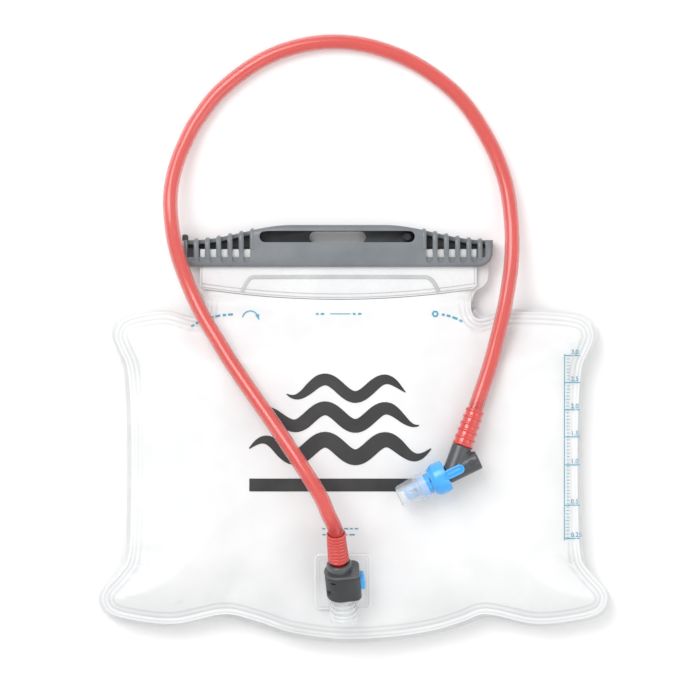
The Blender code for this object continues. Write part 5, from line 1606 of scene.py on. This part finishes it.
# %% Release button
button = side_block("button", 2 * BUTTON_HALF, 2 * BUTTON_HALF, (8.6 * mm, 14 * mm), 1.1 * mm, 1.7 * mm)
SPRING_Z, SPRING_ROOM_END, GRIP_PITCH = 25.2 * mm, 13.35 * mm, 1.8 * mm
spring_room = rod("spring_room", 1.9 * mm, (8 * mm, 0, SPRING_Z), (SPRING_ROOM_END, 0, SPRING_Z))
button = cut(button, "DIFFERENCE", spring_room)
grips = []
for step in (-1, 0, 1):
    grip = side_block("grip", 6.4 * mm, 0.7 * mm, (13.7 * mm, 14.18 * mm), 0.2 * mm, 0.3 * mm)
    grips.append(placed(grip, Matrix.Translation((0, 0, step * GRIP_PITCH))))
button = placed(joined("button", button, *grips), stub)
mounted(button, "release_button", BLUE, ["release_button"])

# %% [markdown]
# ## The drinking valve
#
# The elbow is two moulded tubes that melt into each other, so it is joined, remeshed with small voxels
# and smoothed, which leaves the soft fillet that a mould has. The blue ring turns on it and has a
# lever with a rim and a rib. In front comes a barrel and a windowed core, and over both a sleeve of
# clear silicone with a slit in its tip.

# %% Elbow
BODY_RADIUS, ARM_RADIUS, STEM_RADIUS = 5.65 * mm, 6 * mm, 4 * mm
BODY_BACK, ELBOW_FRONT, STEM_END = -16.9 * mm, 3.7 * mm, 11.7 * mm
VOXEL = 0.3 * mm


def crotch(radius):
    """A soft ridge where the arm's tube meets the body's tube."""
    points = []
    for degrees in range(-35, 86, 5):
        a = math.radians(degrees)
        foot = Vector((-radius * math.cos(a), -radius * math.sin(a), 0))
        lean = foot.dot(arm)
        flat, half, rest = 1 - arm.z ** 2, arm.z * lean, foot.length ** 2 - lean ** 2 - ARM_RADIUS ** 2
        inside = half ** 2 - flat * rest
        if inside > 0:
            points.append(foot + Vector((0, 0, (half - math.sqrt(inside)) / flat)))
    return points


def elbow_shape():
    body = turned("elbow_body", filleted([(0, BODY_BACK), (BODY_RADIUS, BODY_BACK),
                                          (BODY_RADIUS, ELBOW_FRONT), (0, ELBOW_FRONT)], 1.0 * mm, 4))
    branch = rod("elbow_arm", ARM_RADIUS, (0, 0, 0), arm * ARM_END)
    stem = turned("elbow_stem", [(0, 2 * mm), (STEM_RADIUS, 2 * mm), (STEM_RADIUS, 8.7 * mm),
                                 (3.3 * mm, 8.7 * mm), (3.3 * mm, 10.1 * mm), (STEM_RADIUS, 10.1 * mm),
                                 (STEM_RADIUS, STEM_END - 0.4 * mm), (3.6 * mm, STEM_END), (0, STEM_END)])
    made = cut(body, "UNION", branch)
    ridge = evenly(smooth_path(crotch(BODY_RADIUS - 0.1 * mm), 4), 0.6 * mm)
    made = cut(made, "UNION", pipe("ridge", ridge, 0.62 * mm, 0, 12))
    melt = made.modifiers.new("melt", "REMESH")
    melt.mode = "VOXEL"
    melt.voxel_size = VOXEL
    soft = made.modifiers.new("soft", "SMOOTH")
    soft.factor = 0.5
    soft.iterations = 7
    settled(made, 60)
    bore = rod("body_bore", 2.5 * mm, (0, 0, -1 * mm), (0, 0, 20 * mm))
    branch_bore = rod("arm_bore", 2.5 * mm, (0, 0, 0), arm * (ARM_END + 3 * mm))
    made = cut(cut(made, "UNION", stem), "DIFFERENCE", bore, branch_bore)
    badge = turned("badge", filleted([(1.6 * mm, -0.9 * mm), (2.05 * mm, -0.9 * mm), (2.05 * mm, 0.32 * mm),
                                      (1.6 * mm, 0.32 * mm)], 0.1 * mm, 2), 40)
    dot = turned("badge_dot", filleted([(0, -0.5 * mm), (0.7 * mm, -0.5 * mm), (0.7 * mm, 0.26 * mm),
                                        (0, 0.26 * mm)], 0.1 * mm, 2), 32)
    on_top = Matrix.Translation((-BODY_RADIUS, 0, -12.2 * mm)) @ Matrix.Rotation(-math.pi / 2, 4, "Y")
    return joined("valve_elbow", made, placed(badge, on_top), placed(dot, on_top))


elbow = mounted(placed(elbow_shape(), valve), "coupler", ELBOW_GREY, ["elbow"])

# %% Twist ring with its lever
RING_RADIUS = 9.5 * mm
SWEEP = Matrix(((0, 0, -1, 0), (0, 1, 0, 0), (1, 0, 0, 0), (0, 0, 0, 1)))


def capsule(name, inset, low, high, edge):
    """A rounded bar on the top side: it runs along Z, is wide along Y and stands up along -X."""
    def shape(roll):
        grown = inset + roll
        return stadium((-7 * mm + grown, 6 * mm - grown), (-2.8 * mm + grown, 2.8 * mm - grown), 16)
    return placed(pillow(name, shape, low, high, edge, 4), SWEEP)


def twist_ring():
    profile = [(4.4 * mm, 4.0 * mm), (RING_RADIUS, 4.0 * mm), (RING_RADIUS, 11.0 * mm), (8.3 * mm, 13.0 * mm),
               (7.9 * mm, 14.0 * mm), (4.4 * mm, 14.0 * mm)]
    ring = turned("ring", filleted(profile, 0.55 * mm, 4), 96)
    lever = capsule("lever", 0.0, 6.85 * mm, 9.9 * mm, 0.5 * mm)
    hollow = capsule("hollow", 0.85 * mm, 9.2 * mm, 12 * mm, 0.05 * mm)
    made = cut(cut(ring, "UNION", lever), "DIFFERENCE", hollow)
    rib = capsule("lever_rib", 2.05 * mm, 9.0 * mm, 9.85 * mm, 0.3 * mm)
    return joined("ring", made, rib)


ring = mounted(placed(twist_ring(), valve), "valve_head", BLUE, ["twist_ring"])

# %% Barrel and windowed core
barrel = turned("barrel", filleted([(2.6 * mm, 14.3 * mm), (6.2 * mm, 14.3 * mm), (6.2 * mm, 19.3 * mm),
                                    (6.6 * mm, 19.7 * mm), (6.6 * mm, 21.0 * mm), (2.6 * mm, 21.0 * mm)],
                                   0.25 * mm, 3), 72)
barrel = mounted(placed(barrel, valve), "valve_head", BLUE, ["valve_barrel"])


def windowed_core():
    core = turned("core", filleted([(2.2 * mm, 21.3 * mm), (4.4 * mm, 21.3 * mm), (4.4 * mm, 28.8 * mm),
                                    (3.0 * mm, 31 * mm), (0, 31 * mm), (0, 29.4 * mm), (2.2 * mm, 29.4 * mm)],
                                   0.2 * mm, 3), 64)
    windows = [block("window", (-9 * mm, -1.5 * mm, 23.2 * mm), (9 * mm, 1.5 * mm, 25.6 * mm)),
               block("window", (-9 * mm, -1.3 * mm, 26.6 * mm), (9 * mm, 1.3 * mm, 28.2 * mm)),
               block("window", (-1.5 * mm, -9 * mm, 23.2 * mm), (1.5 * mm, 9 * mm, 28.0 * mm))]
    return softened(cut(core, "DIFFERENCE", *windows), 0.15 * mm, 2, 50)


core = mounted(placed(windowed_core(), valve), "valve_head", BLUE_CLEAR, ["bite_core"])


# %% Silicone sleeve, its slit and a painted shadow ring at its tip
def bite_sleeve():
    wall = [(6.8 * mm, 17 * mm), (7.9 * mm, 17 * mm), (8.0 * mm, 17.4 * mm), (8.0 * mm, 23.6 * mm),
            (7.6 * mm, 25.6 * mm), (7.2 * mm, 29 * mm), (7.0 * mm, 33.0 * mm), (6.5 * mm, 34.4 * mm),
            (5.4 * mm, 35 * mm), (4.6 * mm, 33.4 * mm), (5.0 * mm, 33.0 * mm), (5.0 * mm, 24.4 * mm),
            (6.8 * mm, 23.8 * mm)]
    sleeve = turned("sleeve", filleted(wall, 0.2 * mm, 3), 72)
    tip = turned("tip", filleted([(0, 33.6 * mm), (5.0 * mm, 33.6 * mm), (5.0 * mm, 34.9 * mm),
                                  (0, 34.9 * mm)], 0.2 * mm, 2), 72)
    slit = block("slit", (-3.4 * mm, -0.3 * mm, 32 * mm), (3.4 * mm, 0.3 * mm, 36 * mm))
    return joined("bite_sleeve_clear", sleeve, cut(tip, "DIFFERENCE", slit))


sleeve = mounted(placed(bite_sleeve(), valve), "bite_sleeve", SILICONE, ["bite_sleeve"])
# A thin dark ring at the tip of the sleeve is a painted shadow of the open slit, not a part of the valve.
shade_line = turned("slit_shadow", [(4.2 * mm, 34.86 * mm), (5.1 * mm, 34.86 * mm), (5.1 * mm, 35.02 * mm),
                                    (4.2 * mm, 35.02 * mm)], 56)
painted_slit_shadow = mounted(placed(shade_line, valve), "bite_sleeve", DARK)

# %% [markdown]
# ## Parts inside
#
# Seals, springs, the latch plate and the shut-off pin are seen only when something is taken apart, so
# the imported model's own shapes are good enough. They still get real finishes.

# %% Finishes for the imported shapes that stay
INSIDE = {"shutoff_plunger": BLUE, "plunger_seal": RUBBER, "spigot_o_ring": RUBBER, "elbow_o_ring": RUBBER,
          "shutoff_spring": SPRING, "button_spring": SPRING, "latch_plate": DARK}
for node in bpy.data.objects:
    if node.name in INSIDE and node.type == "MESH":
        for material_slot in node.material_slots:
            material_slot.material = INSIDE[node.name]
        print(node.name, "->", INSIDE[node.name].name)

print("hose declared, m:", round(HOSE_LENGTH, 3))
